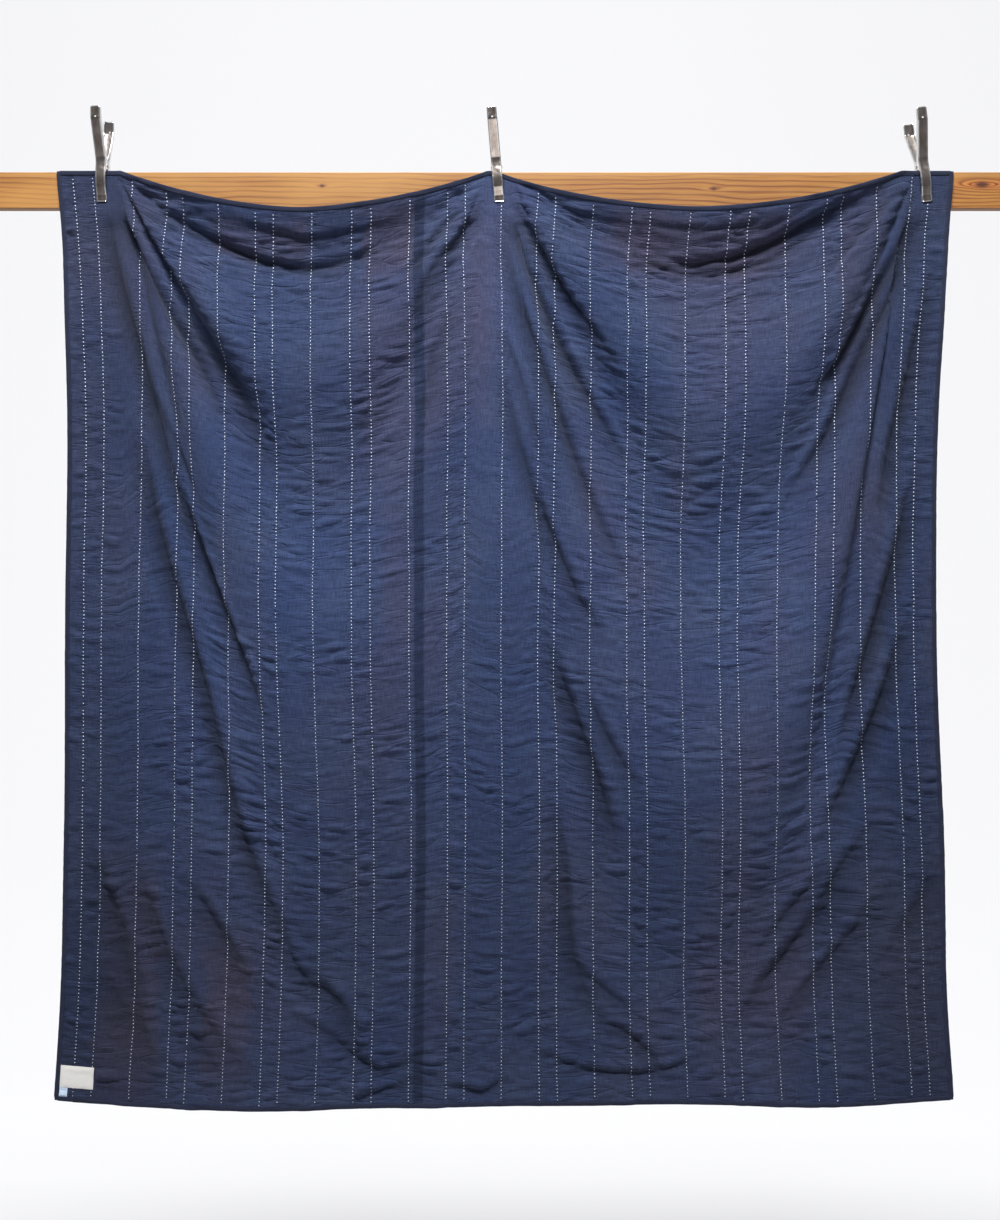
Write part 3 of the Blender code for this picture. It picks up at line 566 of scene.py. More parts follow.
class Nodes:
    """Short ways to wire the nodes of a material or of the world."""

    def __init__(self, owner):
        owner.use_nodes = True
        self.tree = owner.node_tree

    def fill(self, node, inputs):
        """Link each input to a socket, or set it to a plain value."""
        for key, value in inputs.items():
            if isinstance(value, bpy.types.NodeSocket):
                self.tree.links.new(value, node.inputs[key])
            else:
                node.inputs[key].default_value = value

    def node(self, kind, inputs, output=0, **settings):
        """An output of a new node."""
        node = self.tree.nodes.new(kind)
        for key, value in settings.items():
            setattr(node, key, value)
        self.fill(node, inputs)
        return node.outputs[output]

    def place(self, kind="Object"):
        return self.node("ShaderNodeTexCoord", {}, kind)

    def across_and_down(self):
        return self.node("ShaderNodeUVMap", {}, uv_map="cloth")

    def field(self, name):
        return self.node("ShaderNodeAttribute", {}, "Fac", attribute_name=name)

    def parts(self, vector):
        node = self.tree.nodes.new("ShaderNodeSeparateXYZ")
        self.fill(node, {0: vector})
        return node.outputs

    def math(self, operation, first, second=0.0):
        return self.node("ShaderNodeMath", {0: first, 1: second}, operation=operation)

    def add(self, first, *others):
        for other in others:
            first = self.math("ADD", first, other)
        return first

    def multiply(self, first, second):
        return self.math("MULTIPLY", first, second)

    def mapped(self, vector, scale, offset=(0, 0, 0)):
        return self.node("ShaderNodeMapping", {"Vector": vector, "Scale": scale, "Location": offset})

    def noise(self, vector, scale, detail=3.0, roughness=0.55, distortion=0.0):
        """Noise of one scale, or of a scale for each axis."""
        if isinstance(scale, tuple):
            vector, scale = self.mapped(vector, scale), 1.0
        return self.node("ShaderNodeTexNoise", {
            "Vector": vector, "Scale": scale, "Detail": detail, "Roughness": roughness,
            "Distortion": distortion}, "Fac")

    def wave(self, vector, pitch, direction, **inputs):
        """Bands a pitch apart, in the direction X or Y."""
        inputs = {key.replace("_", " "): value for key, value in inputs.items()}
        return self.node("ShaderNodeTexWave", {"Vector": vector, "Scale": WAVE_LENGTH / pitch, **inputs},
                         "Fac", wave_type="BANDS", bands_direction=direction)

    def ramp(self, value, *stops):
        node = self.tree.nodes.new("ShaderNodeValToRGB")
        self.fill(node, {0: value})
        elements = node.color_ramp.elements
        while len(elements) < len(stops):
            elements.new(0.5)
        for element, (place, colour) in zip(elements, stops):
            element.position = place
            element.color = (*colour, 1.0)
        return node.outputs[0]

    def mix(self, share, first, second, blend="MIX"):
        inputs = {0: share, 6: opaque(first), 7: opaque(second)}
        return self.node("ShaderNodeMix", inputs, 2, data_type="RGBA", blend_type=blend)

    def times(self, first, second):
        return self.mix(1.0, first, second, "MULTIPLY")

    def stretched(self, value, low, high, new_low=0.0, new_high=1.0):
        return self.node("ShaderNodeMapRange", {
            "Value": value, "From Min": low, "From Max": high, "To Min": new_low, "To Max": new_high})


class Shader(Nodes):
    """A Principled material."""

    def __init__(self, name, roughness, metallic=0.0, shine=0.5):
        self.material = bpy.data.materials.new(name)
        super().__init__(self.material)
        self.surface = self.tree.nodes["Principled BSDF"]
        self.surfaced({"Roughness": roughness, "Metallic": metallic, "Specular IOR Level": shine})
        self.normal = None

    def surfaced(self, inputs):
        self.fill(self.surface, inputs)

    def bump(self, height, distance, strength=1.0):
        """Relief on top of what was added before."""
        inputs = {"Distance": distance, "Strength": strength, "Height": height}
        if self.normal:
            inputs["Normal"] = self.normal
        self.normal = self.node("ShaderNodeBump", inputs)
        self.surfaced({"Normal": self.normal})

    def colour(self, value):
        self.surfaced({"Base Color": opaque(value)})

    def sheen(self, weight, roughness, tint):
        self.surfaced({"Sheen Weight": weight, "Sheen Roughness": roughness, "Sheen Tint": opaque(tint)})


def opaque(colour):
    return (*colour, 1.0) if isinstance(colour, tuple) else colour


def plain_weave(shader, vector, pitch):
    """Crossing threads of a plain weave, from 0 to 1, and the slubs in its yarn."""
    warp, weft = (
        shader.wave(vector, pitch, direction, Distortion=0.6, Detail=1.0, Detail_Scale=2.0)
        for direction in "XY")
    weft_slubs = shader.noise(vector, (35.0, 700.0, 1.0), 2.0)
    warp_slubs = shader.noise(vector, (700.0, 35.0, 1.0), 2.0)
    return shader.multiply(warp, weft), shader.multiply(shader.add(weft_slubs, warp_slubs), 0.5)


def grooves(shader, vector, scale, narrow):
    """Thin winding grooves between flat places, from 0 in a groove to 1."""
    noise = shader.noise(vector, scale, 2.0, 0.5, 0.4)
    return shader.stretched(shader.math("ABSOLUTE", shader.math("SUBTRACT", noise, 0.5)), 0.0, narrow)


def quilt_cotton(name, warm_share=1.0):
    """Thin overdyed navy cotton, with other cloth showing faintly through."""
    shader = Shader(name, 0.88, shine=0.2)
    uv = shader.across_and_down()
    tint = shader.field("tint")
    cloudy = shader.noise(uv, 5.5, 3.0, 0.6)
    toned = shader.mix(shader.stretched(cloudy, 0.38, 0.62), NAVY_DEEP, NAVY_PALE)
    warm = shader.multiply(shader.stretched(tint, 0.0, 1.0), warm_share)
    toned = shader.mix(warm, toned, WARM_UNDER)
    toned = shader.mix(shader.stretched(tint, 0.0, -1.0), toned, COOL_UNDER)
    weave, slubs = plain_weave(shader, uv, 0.00055)
    # this field carries painted light and shade as well as the cloth's own tone
    toned = shader.times(toned, shader.field("dye_and_painted_light"))
    streaks = shader.stretched(slubs, 0.35, 0.65)
    toned = shader.times(toned, shader.mix(streaks, (0.80, 0.80, 0.82), (1.22, 1.20, 1.18)))
    for scale in ((38.0, 430.0, 1.0), (430.0, 38.0, 1.0)):
        yarns = shader.stretched(shader.noise(uv, scale, 0.0), 0.32, 0.68)
        toned = shader.times(toned, shader.mix(yarns, (0.84, 0.85, 0.88), (1.17, 1.15, 1.12)))
    shader.colour(toned)

    puckered, sewn = shader.field("puckered"), shader.field("sewn")
    along_folds = shader.node("ShaderNodeCombineXYZ", {0: shader.parts(uv)[0], 1: shader.field("flow")})
    fine = shader.multiply(grooves(shader, along_folds, (11.0, 55.0, 1.0), 0.06), 0.22)
    wrinkles = shader.add(grooves(shader, along_folds, (4.6, 22.0, 1.0), 0.035), fine)
    shader.bump(shader.multiply(wrinkles, puckered), 0.0016)
    drawn_down = grooves(shader, uv, (26.0, 3.0, 1.0), 0.12)
    shader.bump(shader.multiply(drawn_down, shader.math("SUBTRACT", 1.0, puckered)), 0.0010)
    shader.bump(shader.multiply(shader.wave(uv, STITCH_PITCH, "Y"), sewn), 0.0009)
    drawn_up = grooves(shader, uv, (14.0, 62.0, 1.0), 0.06)
    shader.bump(shader.multiply(drawn_up, shader.math("POWER", sewn, 0.22)), 0.0013)
    shader.bump(shader.add(shader.multiply(weave, 0.35), slubs), 0.0005, 0.8)
    shader.sheen(0.12, 0.45, SKY_SHEEN)
    return shader.material


def binding_cotton():
    shader = Shader("binding cotton", 0.85, shine=0.2)
    weave, slubs = plain_weave(shader, shader.across_and_down(), 0.0006)
    shader.colour(shader.mix(slubs, BINDING_DEEP, BINDING_PALE))
    shader.bump(shader.add(weave, slubs), 0.0004, 0.8)
    shader.sheen(0.06, 0.5, SKY_SHEEN)
    return shader.material


def thread_cotton(name, light, dark, foot=1.0):
    """Soft twisted thread, a little uneven in colour, with painted shade making it `foot` times as light
    low on the quilt.
    """
    shader = Shader(name, 0.8)
    place = shader.place()
    mottled = shader.stretched(shader.noise(place, 160.0, 2.0), 0.35, 0.65)
    # painted shade: the thread darker low on the quilt
    painted_shade_low = shader.stretched(shader.parts(place)[2], -2.0, -0.6, foot, 1.0)
    shader.colour(shader.times(shader.mix(mottled, dark, light), painted_shade_low))
    shader.bump(shader.noise(place, 2500.0, 1.0), 0.0002, 0.5)
    shader.sheen(0.2, 0.5, (1.0, 1.0, 1.0))
    return shader.material


def label_cotton(name, light, dark):
    shader = Shader(name, 0.8)
    weave, slubs = plain_weave(shader, shader.across_and_down(), 0.0005)
    shader.colour(shader.mix(slubs, dark, light))
    shader.bump(shader.add(weave, slubs), 0.0003, 0.7)
    return shader.material


# Knots in the rail: along it from its middle, up it, half their length and height, and how much
# they bend the grain.
KNOTS = rows_of(
    "along up half_length half_height swirl",
    (-0.436, 0.055, 0.006, 0.0035, 0.55),
    (0.524, 0.048, 0.007, 0.0040, 0.60),
    (1.181, 0.058, 0.016, 0.0075, 1.60),
    (-0.130, 0.030, 0.003, 0.0020, 0.20))


def pine():
    """Planed softwood, its grain along the rail and bent round its knots."""
    shader = Shader("planed pine", 0.5)
    place = shader.place()
    x, y, z = shader.parts(place)
    bend, dark = 0.0, 0.0
    for knot in KNOTS:
        along = shader.math("DIVIDE", shader.math("SUBTRACT", x, knot["along"]), knot["half_length"])
        up = shader.math("DIVIDE", shader.math("SUBTRACT", z, knot["up"]), knot["half_height"])
        along, up = shader.multiply(along, along), shader.multiply(up, up)
        near = shader.math("DIVIDE", 1.0, shader.add(shader.multiply(along, 0.12), up, 1.0))
        bend = shader.add(bend, shader.multiply(near, knot["swirl"]))
        heart = shader.math("POWER", shader.add(along, up), 2.0)
        dark = shader.add(dark, shader.math("DIVIDE", 1.0, shader.add(heart, 1.0)))
    wander = shader.noise(place, (1.3, 6.0, 6.0))
    ring = shader.add(*(shader.multiply(value, share) for value, share in (
        (z, 80.0), (y, 20.0), (wander, 7.0), (bend, 2.2))))
    bands = shader.math("FRACT", ring)
    wood = shader.ramp(
        bands, (0.0, (0.270, 0.112, 0.0205)), (0.50, (0.315, 0.140, 0.0285)),
        (0.82, (0.190, 0.060, 0.0095)), (0.95, (0.100, 0.027, 0.0045)), (1.0, (0.240, 0.094, 0.0165)))
    resinous = shader.ramp(
        bands, (0.0, (0.47, 0.175, 0.040)), (0.45, (0.39, 0.120, 0.024)),
        (0.75, (0.100, 0.020, 0.004)), (0.90, (0.17, 0.038, 0.008)), (1.0, (0.45, 0.165, 0.036)))
    fibre = shader.noise(place, (9.0, 420.0, 420.0))
    pores = shader.mix(shader.stretched(fibre, 0.3, 0.7), (0.80, 0.76, 0.72), (1.12, 1.12, 1.12))
    wood = shader.times(wood, pores)
    blotch = shader.noise(shader.mapped(place, (2.2, 9.0, 9.0), (4.0, 0.0, 0.0)), 1.0)
    wood = shader.mix(shader.stretched(blotch, 0.40, 0.66, 0.0, 0.55), wood, (0.40, 0.205, 0.053))
    top_stripe = shader.stretched(z, RAIL_HEIGHT - 0.014, RAIL_HEIGHT - 0.009, 0.0, 0.35)
    wood = shader.mix(top_stripe, wood, (0.43, 0.23, 0.075))
    near_knots = shader.stretched(bend, 0.22, 1.0, 0.0, 0.85)
    wood = shader.mix(near_knots, wood, shader.times(resinous, pores))
    wood = shader.mix(shader.math("MINIMUM", dark, 1.0), wood, (0.060, 0.015, 0.005))
    # painted shade: the rail darkened along its bottom edge
    painted_shade_below = shader.stretched(z, 0.0030, 0.0005, 0.0, 0.7)
    shader.colour(shader.mix(painted_shade_below, wood, (0.15, 0.055, 0.018)))
    shader.bump(shader.add(fibre, shader.multiply(bands, 0.3)), 0.0004, 0.5)
    return shader.material


def pressed_steel():
    """Plated steel, dark on its flat faces and bright along its bends and edges as a painted highlight,
    with scuffs.
    """
    shader = Shader("pressed steel", 0.2, metallic=1.0)
    place = shader.place()
    scuffs = shader.noise(place, 90.0, 5.0, 0.7)
    blotch = shader.stretched(shader.noise(place, (60.0, 60.0, 18.0)), 0.35, 0.65)
    # painted highlight along the bends and edges, with scuffs added
    paler_and_painted_light = shader.add(shader.field("paler_and_painted_light"), shader.stretched(scuffs, 0.5, 0.9, -0.08, 0.35))
    dark = shader.mix(blotch, (0.31, 0.255, 0.220), (0.45, 0.39, 0.35))
    shader.colour(shader.mix(shader.stretched(paler_and_painted_light, 0.10, 0.95), dark, (0.80, 0.79, 0.77)))
    shader.surfaced({"Roughness": shader.stretched(scuffs, 0.35, 0.75, 0.14, 0.30)})
    shader.bump(scuffs, 0.0001, 0.2)
    return shader.material


def spring_steel():
    """Bright plated steel with faint scuffs."""
    shader = Shader("spring steel", 0.25, metallic=1.0)
    place = shader.place()
    scuffs = shader.noise(place, 60.0, 5.0, 0.7)
    shader.surfaced({"Roughness": shader.stretched(scuffs, 0.35, 0.75, 0.175, 0.425)})
    haze = shader.stretched(shader.noise(place, 14.0), 0.4, 0.7)
    shader.colour(shader.mix(haze, (0.70, 0.69, 0.67), (0.56, 0.552, 0.536)))
    shader.bump(scuffs, 0.0001, 0.15)
    return shader.material


# -------- the quilt's cloth
SEWN_REACH = 0.007              # how far from a stitch row the cloth is drawn up


def on_seam_band(a):
    return (a > SEAMS[0]) & (a < SEAMS[0] + SEAM_BAND)


def tint_at(a, b):
    """How warm (above 0) or cool (below 0) the cloth shows at each place."""
    tint = 0.45 * wave_noise(a / 0.34, b / 0.55, 71) + 0.22 * wave_noise(a / 0.11, b / 0.19, 72)
    ragged = 0.02 * wave_noise(a / 0.04, b / 0.04, 73)
    for row in PATCHES:
        beside = (np.abs(a - row["across"]) + ragged) / row["half_width"]
        below = (np.abs(b - row["down"]) + ragged) / row["half_height"]
        tint = tint + row["warm"] * smooth((1.15 - beside) / 0.35) * smooth((1.5 - below) / 1.0)
    tint = np.where(on_seam_band(a), np.minimum(tint, 0.0) - 0.5, tint)
    return np.clip(tint, -1.0, 1.0)


def dye_and_painted_light_at(a, b):
    """How light the cloth is: darker where doubled at the first seam, paler below the middle clamp, and
    painted light and shade: a paler band across the swag folds, darker towards the sides, the foot and the
    top.
    """
    dye_and_painted_light = np.where(on_seam_band(a), 0.56, 1.0)
    paler_and_painted_light = bell((a - CLAMP_LINES[1]) / 0.11) * (1 - smooth((b - 0.15) / 1.2))
    # painted light: a paler band across the cloth where the swag folds face the light
    paler_and_painted_light += 0.40 * bell((b - 0.95) / 0.30)
    dye_and_painted_light *= 1 + 0.24 * paler_and_painted_light
    # painted shade: darker towards the sides, the foot and the top
    dye_and_painted_light *= 1 - 0.27 * smooth((np.abs(a - QUILT_WIDTH / 2) - 0.72) / 0.34)
    dye_and_painted_light *= 1 - 0.27 * smooth((b - 1.25) / 0.65)
    dye_and_painted_light *= 1 - 0.12 * (1 - smooth(b / 0.50))
    return dye_and_painted_light * (1 + 0.05 * wave_noise(a / 0.3, b / 0.3, 51))


def cloth_fields(cloth, a, b, tint):
    """What the quilt's material reads: its tint, its dye with painted light and shade (painted shade
    darkest in the creases), its puckers, and how near a stitch row.
    """
    puckered, flow, crease_shade = (
        cloth.read(field[..., None], a, b)[..., 0]
        for field in (cloth.puckered, cloth.flow, cloth.crease_shade))
    nearest = np.abs(a[..., None] - stitch_rows()).min(-1)
    sewn = bell(nearest / SEWN_REACH)
    # painted shade: the cloth is darkened in its creases, where shade falls
    dye_and_painted_light = dye_and_painted_light_at(a, b) * (1 - 0.62 * np.clip(crease_shade, 0, 1) ** 0.8)
    return dict(tint=tint, dye_and_painted_light=dye_and_painted_light, puckered=puckered, flow=flow, sewn=sewn)


def sheet_of_cloth(name, a, b, points, faces, material, **more):
    """A mesh on a grid of places, which its uv gives in metres across and down."""
    uv = np.stack([a.ravel(), b.ravel()], -1)
    return mesh_from(name, points.reshape(-1, 3), faces, material, uv, **more)


def build_front_panel(cloth, name, start, end, material):
    picked = np.flatnonzero((cloth.a >= start - 1e-6) & (cloth.a <= end + 1e-6))
    a, b = np.meshgrid(cloth.a[picked], cloth.b)
    points = cloth.point(a, b, QUILT_THICK / 2)
    fields = cloth_fields(cloth, a, b, tint_at(a, b))
    panel = sheet_of_cloth(name, a, b, points, grid_faces(*a.shape), material, fields=fields)
    return adopt(panel, "quilt_cotton", "quilt")


def build_back(cloth, material):
    columns, rows = 230, 235
    a, b = np.meshgrid(np.linspace(0, QUILT_WIDTH, columns), np.linspace(0, QUILT_LENGTH, rows))
    points = cloth.point(a, b, -QUILT_THICK / 2)
    faces = grid_faces(*a.shape)[:, ::-1]
    fields = cloth_fields(cloth, a, b, 0.5 * tint_at(a + 0.4, b))
    back = sheet_of_cloth("quilt_back", a + 3.0, b, points, faces, material, fields=fields)
    return adopt(back, "quilt_cotton", "quilt")


def sew(cloth, name, starts, ends, facing, proud, thread, material, slot):
    """Stitches from place to place (across, down), proud of the cloth's middle surface.

    Each rises out of the cloth and dips back. The cloth's slope is read at facing, and thread is
    the half width and height of the thread, and the number of points half way round it.
    """
    half_width, height, sides = thread
    normals = cloth.normal(*facing.T) * np.sign(proud)
    first, last = cloth.point(*starts.T, proud), cloth.point(*ends.T, proud)
    along = last - first
    beside = np.cross(normals, along / np.linalg.norm(along, axis=1, keepdims=True))
    dip, sunk = 0.0003, 0.0001
    points = [first - normals * dip]
    for share in (0.28, 0.72):
        for k in range(sides):
            angle = math.pi * k / (sides - 1)
            rise = height * math.sin(angle) - sunk
            points.append(first + along * share + beside * (half_width * math.cos(angle)) + normals * rise)
    points = np.stack([*points, last - normals * dip], 1)
    each = points.shape[1]
    faces = []
    for near in range(1, sides):
        far = near + sides
        faces += [(0, near + 1, near), (near, near + 1, far + 1, far), (far, far + 1, each - 1)]
    faces = [[at + k for k in face] for at in range(0, len(points) * each, each) for face in faces]
    return adopt(mesh_from(name, points.reshape(-1, 3), faces, material), slot)


def build_running_stitch(cloth, name, side, material):
    """The rows of running stitch: side is 1 on the face and -1 on the back, between them."""
    rng = np.random.default_rng(5)
    starts, ends = [], []
    for place in stitch_rows():
        highest = STITCH_INSET + rng.uniform(0, STITCH_PITCH)
        down = np.arange(highest, QUILT_LENGTH - STITCH_INSET - STITCH_LENGTH, STITCH_PITCH)
        across = place + 0.0012 * wave_noise(down / 0.13, np.full_like(down, place * 9), 81)
        jitter = rng.normal(0, 0.00025, (4, len(down)))
        kept = rng.uniform(size=len(down)) > 0.012
        down = down + jitter[2]
        first = np.stack([across + jitter[1], down], -1)
        last = np.stack([across + jitter[3], down + STITCH_LENGTH + jitter[0] * 1.6], -1)
        if side < 0:
            first, last = last[:-1], first[1:]
            kept = kept[:-1] & kept[1:]
        starts.append(first[kept])
        ends.append(last[kept])
    starts, ends = np.concatenate(starts), np.concatenate(ends)
    thread = (0.0010, 0.0008, 5 if side > 0 else 4)
    return sew(cloth, name, starts, ends, (starts + ends) / 2, side * QUILT_THICK / 2, thread,
               material, "quilt_cotton")


# -------- the binding
BINDING_STEP = 0.008            # from one section of the strip to the next
BINDING_PITCH = 0.0042          # from one of its stitches to the next


def rim_places(step):
    """Places round the quilt's edge, with rounded corners, and the way out of the cloth there."""
    r = BINDING_WIDTH
    right, foot = QUILT_WIDTH - r, QUILT_LENGTH - r
    centres = ((r, r), (right, r), (right, foot), (r, foot), (r, r))
    places = []
    for turn, start, end in zip((-90, 0, 90, 180), centres, centres[1:]):
        out = (round(math.cos(math.radians(turn))), round(math.sin(math.radians(turn))))
        count = round(math.dist(start, end) / step)
        shares = [(k / count, out) for k in range(count)]
        for k in range(4):
            angle = math.radians(turn + 22.5 * k)
            shares.append((1.0, (math.cos(angle), math.sin(angle))))
        for share, (out_a, out_b) in shares:
            a, b = (s + (e - s) * share for s, e in zip(start, end))
            places.append((a + r * out_a, b + r * out_b, (out_a, out_b)))
    return places


def build_binding(cloth, material):
    """A folded strip over the edge: a rounded U in section with rolled inner edges."""
    inner = QUILT_THICK / 2 + 0.0001
    outer = QUILT_THICK / 2 + BINDING_GAP + BINDING_THICK
    section = [(-BINDING_WIDTH, inner), (-BINDING_WIDTH - 0.0004, (inner + outer) / 2),
               (-BINDING_WIDTH + 0.0005, outer), (-BINDING_WIDTH / 2, outer + 0.0003)]
    for k in range(7):
        angle = math.pi / 2 - math.pi * k / 6
        section.append((0.0016 * math.cos(angle), outer * math.sin(angle)))
    section += [(past, -proud) for past, proud in section[3::-1]]
    points, uv = [], []
    run = 0.0
    places = rim_places(BINDING_STEP)
    for k, (a, b, out) in enumerate(places):
        for past, proud in section:
            if past < 0:
                points.append(cloth.point(a + out[0] * past, b + out[1] * past, proud))
            else:
                points.append(cloth.beyond(a, b, out, past, proud))
            uv.append((run, past + 0.5 * proud))
        if k + 1 < len(places):
            run += math.dist((a, b), places[k + 1][:2])
    faces = grid_faces(len(places), len(section), close_rows=True)
    binding = mesh_from("binding_strip", np.array(points), faces, material, np.array(uv))
    return adopt(binding, "binding_cotton", "binding")


def build_binding_stitch(cloth, material):
    """The small stitches that hold the binding down on the face."""
    rng = np.random.default_rng(9)
    inset = BINDING_WIDTH - 0.0018
    places = [np.array([a, b]) - np.array(out) * inset for a, b, out in rim_places(BINDING_PITCH)]
    starts, ends = [], []
    for first, last in zip(places, places[1:]):
        if math.dist(first, last) >= 0.003:
            starts.append(first)
            ends.append(first + (last - first) * (0.62 + rng.normal(0, 0.03)))
    starts, ends = np.array(starts), np.array(ends)
    proud = QUILT_THICK / 2 + BINDING_GAP + BINDING_THICK + 0.0001
    return sew(cloth, "binding_stitches", starts, ends, starts, proud, (0.00035, 0.0004, 4),
               material, "binding_cotton")


# -------- the label
def patch_of_cloth(cloth, name, sides, material, slot, node):
    """A small piece sewn to the face, with turned edges and slightly uneven sides."""
    left, right, top, foot = sides
    a, b = np.meshgrid(np.linspace(left, right, 19), np.linspace(top, foot, 13))
    rim = inside_of(a, b, sides)
    lift = 0.0009 - 0.0005 * np.exp(-rim / 0.0012)
    lift += 0.0003 * wave_noise(a / 0.02, b / 0.015, 61)
    lift = np.where(rim < 1e-6, 0.0002, lift)
    points = cloth.point(a, b, QUILT_THICK / 2 + lift)
    return adopt(sheet_of_cloth(name, a, b, points, grid_faces(*a.shape), material), slot, node)


def build_label_stitch(cloth, sides, material):
    """A border of small stitches, just inside the label's edges."""
    inset, pitch, length = 0.0025, 0.0030, 0.0019
    left, right, top, foot = sides
    left, right, top, foot = left + inset, right - inset, top + inset, foot - inset
    corners = [np.array(at) for at in ((left, top), (right, top), (right, foot), (left, foot))]
    starts, ends = [], []
    for first, last in zip(corners, corners[1:] + corners[:1]):
        count = int(math.dist(first, last) / pitch)
        for k in range(count):
            starts.append(first + (last - first) * (k / count))
            ends.append(starts[-1] + (last - first) / math.dist(first, last) * length)
    starts, ends = np.array(starts), np.array(ends)
    return sew(cloth, "label_stitches", starts, ends, starts, QUILT_THICK / 2 + 0.0010,
               (0.00030, 0.00035, 4), material, "label_cotton")


# -------- the clamps
# Each clamp: how far right its grip is, its lean and turn, and how far its handles lean out.
CLAMPS = rows_of(
    "name right lean turn front rear",
    ("left", -0.9731, -1.0, -1.5, 20.0, 20.0),
    ("middle", -0.0015, -4.7, -2.2, 20.0, 21.0),
    ("right", 1.0443, -6.3, -1.5, 18.0, 27.0))
CLAMP_MIDDLE = (RAIL_FRONT - (CLAMPED + QUILT_THICK / 2)) / 2
STEEL = 0.0016
PIVOT_Z = 0.1055
JAW_Z = 0.020
HANG_HOLE_R = 0.0025
HANG_HOLE_UP = 0.1036           # above the pivot
SPRING_R = 0.0065
SPRING_WIRE_R = 0.0012
SPRING_TURNS = 3.5
SPRING_LEG_UP = 0.040
HANDLE_FROM = 0.0150            # above the pivot, where a handle starts to lean out
HANDLE_UPRIGHT = 0.1000         # above the pivot, where it stands upright again
# An arm from its jaw to its handle's tip: up from the pivot, out from the middle of the clamp,
# half its width on the front and the rear (nested) arm, and how deep its side flanges are.
ARM_SECTIONS = rows_of(
    "up out half nested flange",
    (-0.0910, 0.0157, 0.0132, 0.0132, 0.0021), (-0.0765, 0.0157, 0.0132, 0.0132, 0.0021),
    (-0.0735, 0.0172, 0.0125, 0.0125, 0.0032), (-0.0550, 0.0232, 0.0125, 0.0122, 0.0078),
    (-0.0340, 0.0250, 0.0125, 0.0116, 0.0092), (-0.0110, 0.0218, 0.0125, 0.0106, 0.0066),
    (-0.0060, 0.0207, 0.0125, 0.0106, 0.0272), (0.0065, 0.0197, 0.0125, 0.0106, 0.0262),
    (0.0150, 0.0205, 0.0125, 0.0106, 0.0165))
HANDLE_SECTIONS = rows_of(
    "up half nested flange",
    (0.0400, 0.0125, 0.0110, 0.0130), (0.0700, 0.0125, 0.0118, 0.0115),
    (0.1000, 0.0123, 0.0122, 0.0100), (0.1290, 0.0120, 0.0120, 0.0085))


def arm_sections(lean):
    """The sections of an arm whose handle leans out by an angle."""
    handle = []
    for row in HANDLE_SECTIONS:
        run = min(row["up"], HANDLE_UPRIGHT) - HANDLE_FROM
        out = ARM_SECTIONS[-1]["out"] + run * math.tan(math.radians(lean))
        handle.append(dict(row, out=out))
    return ARM_SECTIONS + handle


def place_clamp(piece, row):
    piece.location = (row["right"], CLAMP_MIDDLE, JAW_Z)
    piece.rotation_euler = (0, math.radians(row["lean"]), math.radians(row["turn"]))


def jaws_opened(row):
    """How much further out than its sections an arm stands, with the cloth in the jaws."""
    lip = ARM_SECTIONS[0]
    opened = RAIL_FRONT - CLAMP_MIDDLE + GAP - (lip["out"] - lip["flange"])
    return opened + lip["half"] * math.sin(math.radians(abs(row["turn"])))


def arm_profile(half, flange):
    """Points round the arm's section, (beside, in), with rounded bends, and how much painted highlight
    each takes.
    """
    outer, inner = 0.0021, 0.0021 - STEEL
    profile = [(half, flange, 1.0)]
    for k in range(5):
        angle = math.radians(22.5 * k)
        profile.append((half - outer + outer * math.cos(angle), outer - outer * math.sin(angle), 1.0))
    profile += [(half * 0.62, 0.0, 0.15), (half * 0.3, 0.0, 0.0)]
    inside = [(STEEL - half, flange, 1.0)]
    for k in range(4):
        angle = math.radians(30 * k)
        inside.append((-half + outer - inner * math.cos(angle), outer - inner * math.sin(angle), 0.3))
    left, right = ([(-x, depth, paler_and_painted_light) for x, depth, paler_and_painted_light in part[::-1]] for part in (profile, inside))
    return profile + left + inside + right


def build_arm(name, row, side, material):
    """A pressed steel channel, its bends and corners rounded, with painted highlight on its bends and
    ends: side -1 is the front arm.
    """
    sections = arm_sections(row["front"] if side < 0 else row["rear"])
    ups = table(sections, "up")
    stations = np.linspace(ups[0], ups[-1], 91)
    around = np.linspace(-0.0022, 0.0022, 9)[:, None]
    half, outs, flanges = (
        np.interp(stations + around, ups, table(sections, key)).mean(0)
        for key in ("half" if side < 0 else "nested", "out", "flange"))
    from_end = np.minimum(stations - ups[0], ups[-1] - stations)
    corner = 0.0035
    tuck = corner - np.sqrt(corner ** 2 - np.clip(corner - from_end, 0, corner) ** 2)
    outs = outs + jaws_opened(row)
    points, paler_and_painted_light = [], []
    for k, up in enumerate(stations):
        deep = max(flanges[k] - 0.6 * tuck[k], STEEL + 0.0004)
        for beside, inward, painted_edge_light in arm_profile(half[k] - tuck[k], deep):
            points.append((beside, side * (outs[k] - inward), PIVOT_Z - JAW_Z + up))
            # painted highlight on the bends and towards the ends of the arm
            paler_and_painted_light.append(max(painted_edge_light, math.exp(-from_end[k] / 0.002)))
    size = len(points) // len(stations)
    faces = grid_faces(len(stations), size, close_columns=True)[:, ::side].tolist()
    for start in (0, (len(stations) - 1) * size):
        for m in range(size // 2 - 1):
            faces.append((start + m, start + m + 1, start + size - 2 - m, start + size - 1 - m))
    arm = mesh_from(name, np.array(points), faces, material, fields=dict(paler_and_painted_light=paler_and_painted_light))
    cut_hole(arm, PIVOT_Z - JAW_Z + HANG_HOLE_UP)
    place_clamp(arm, row)
    return arm


def solid_mesh(piece):
    """The mesh that an object's modifiers or curve settings make."""
    return bpy.data.meshes.new_from_object(piece.evaluated_get(bpy.context.evaluated_depsgraph_get()))


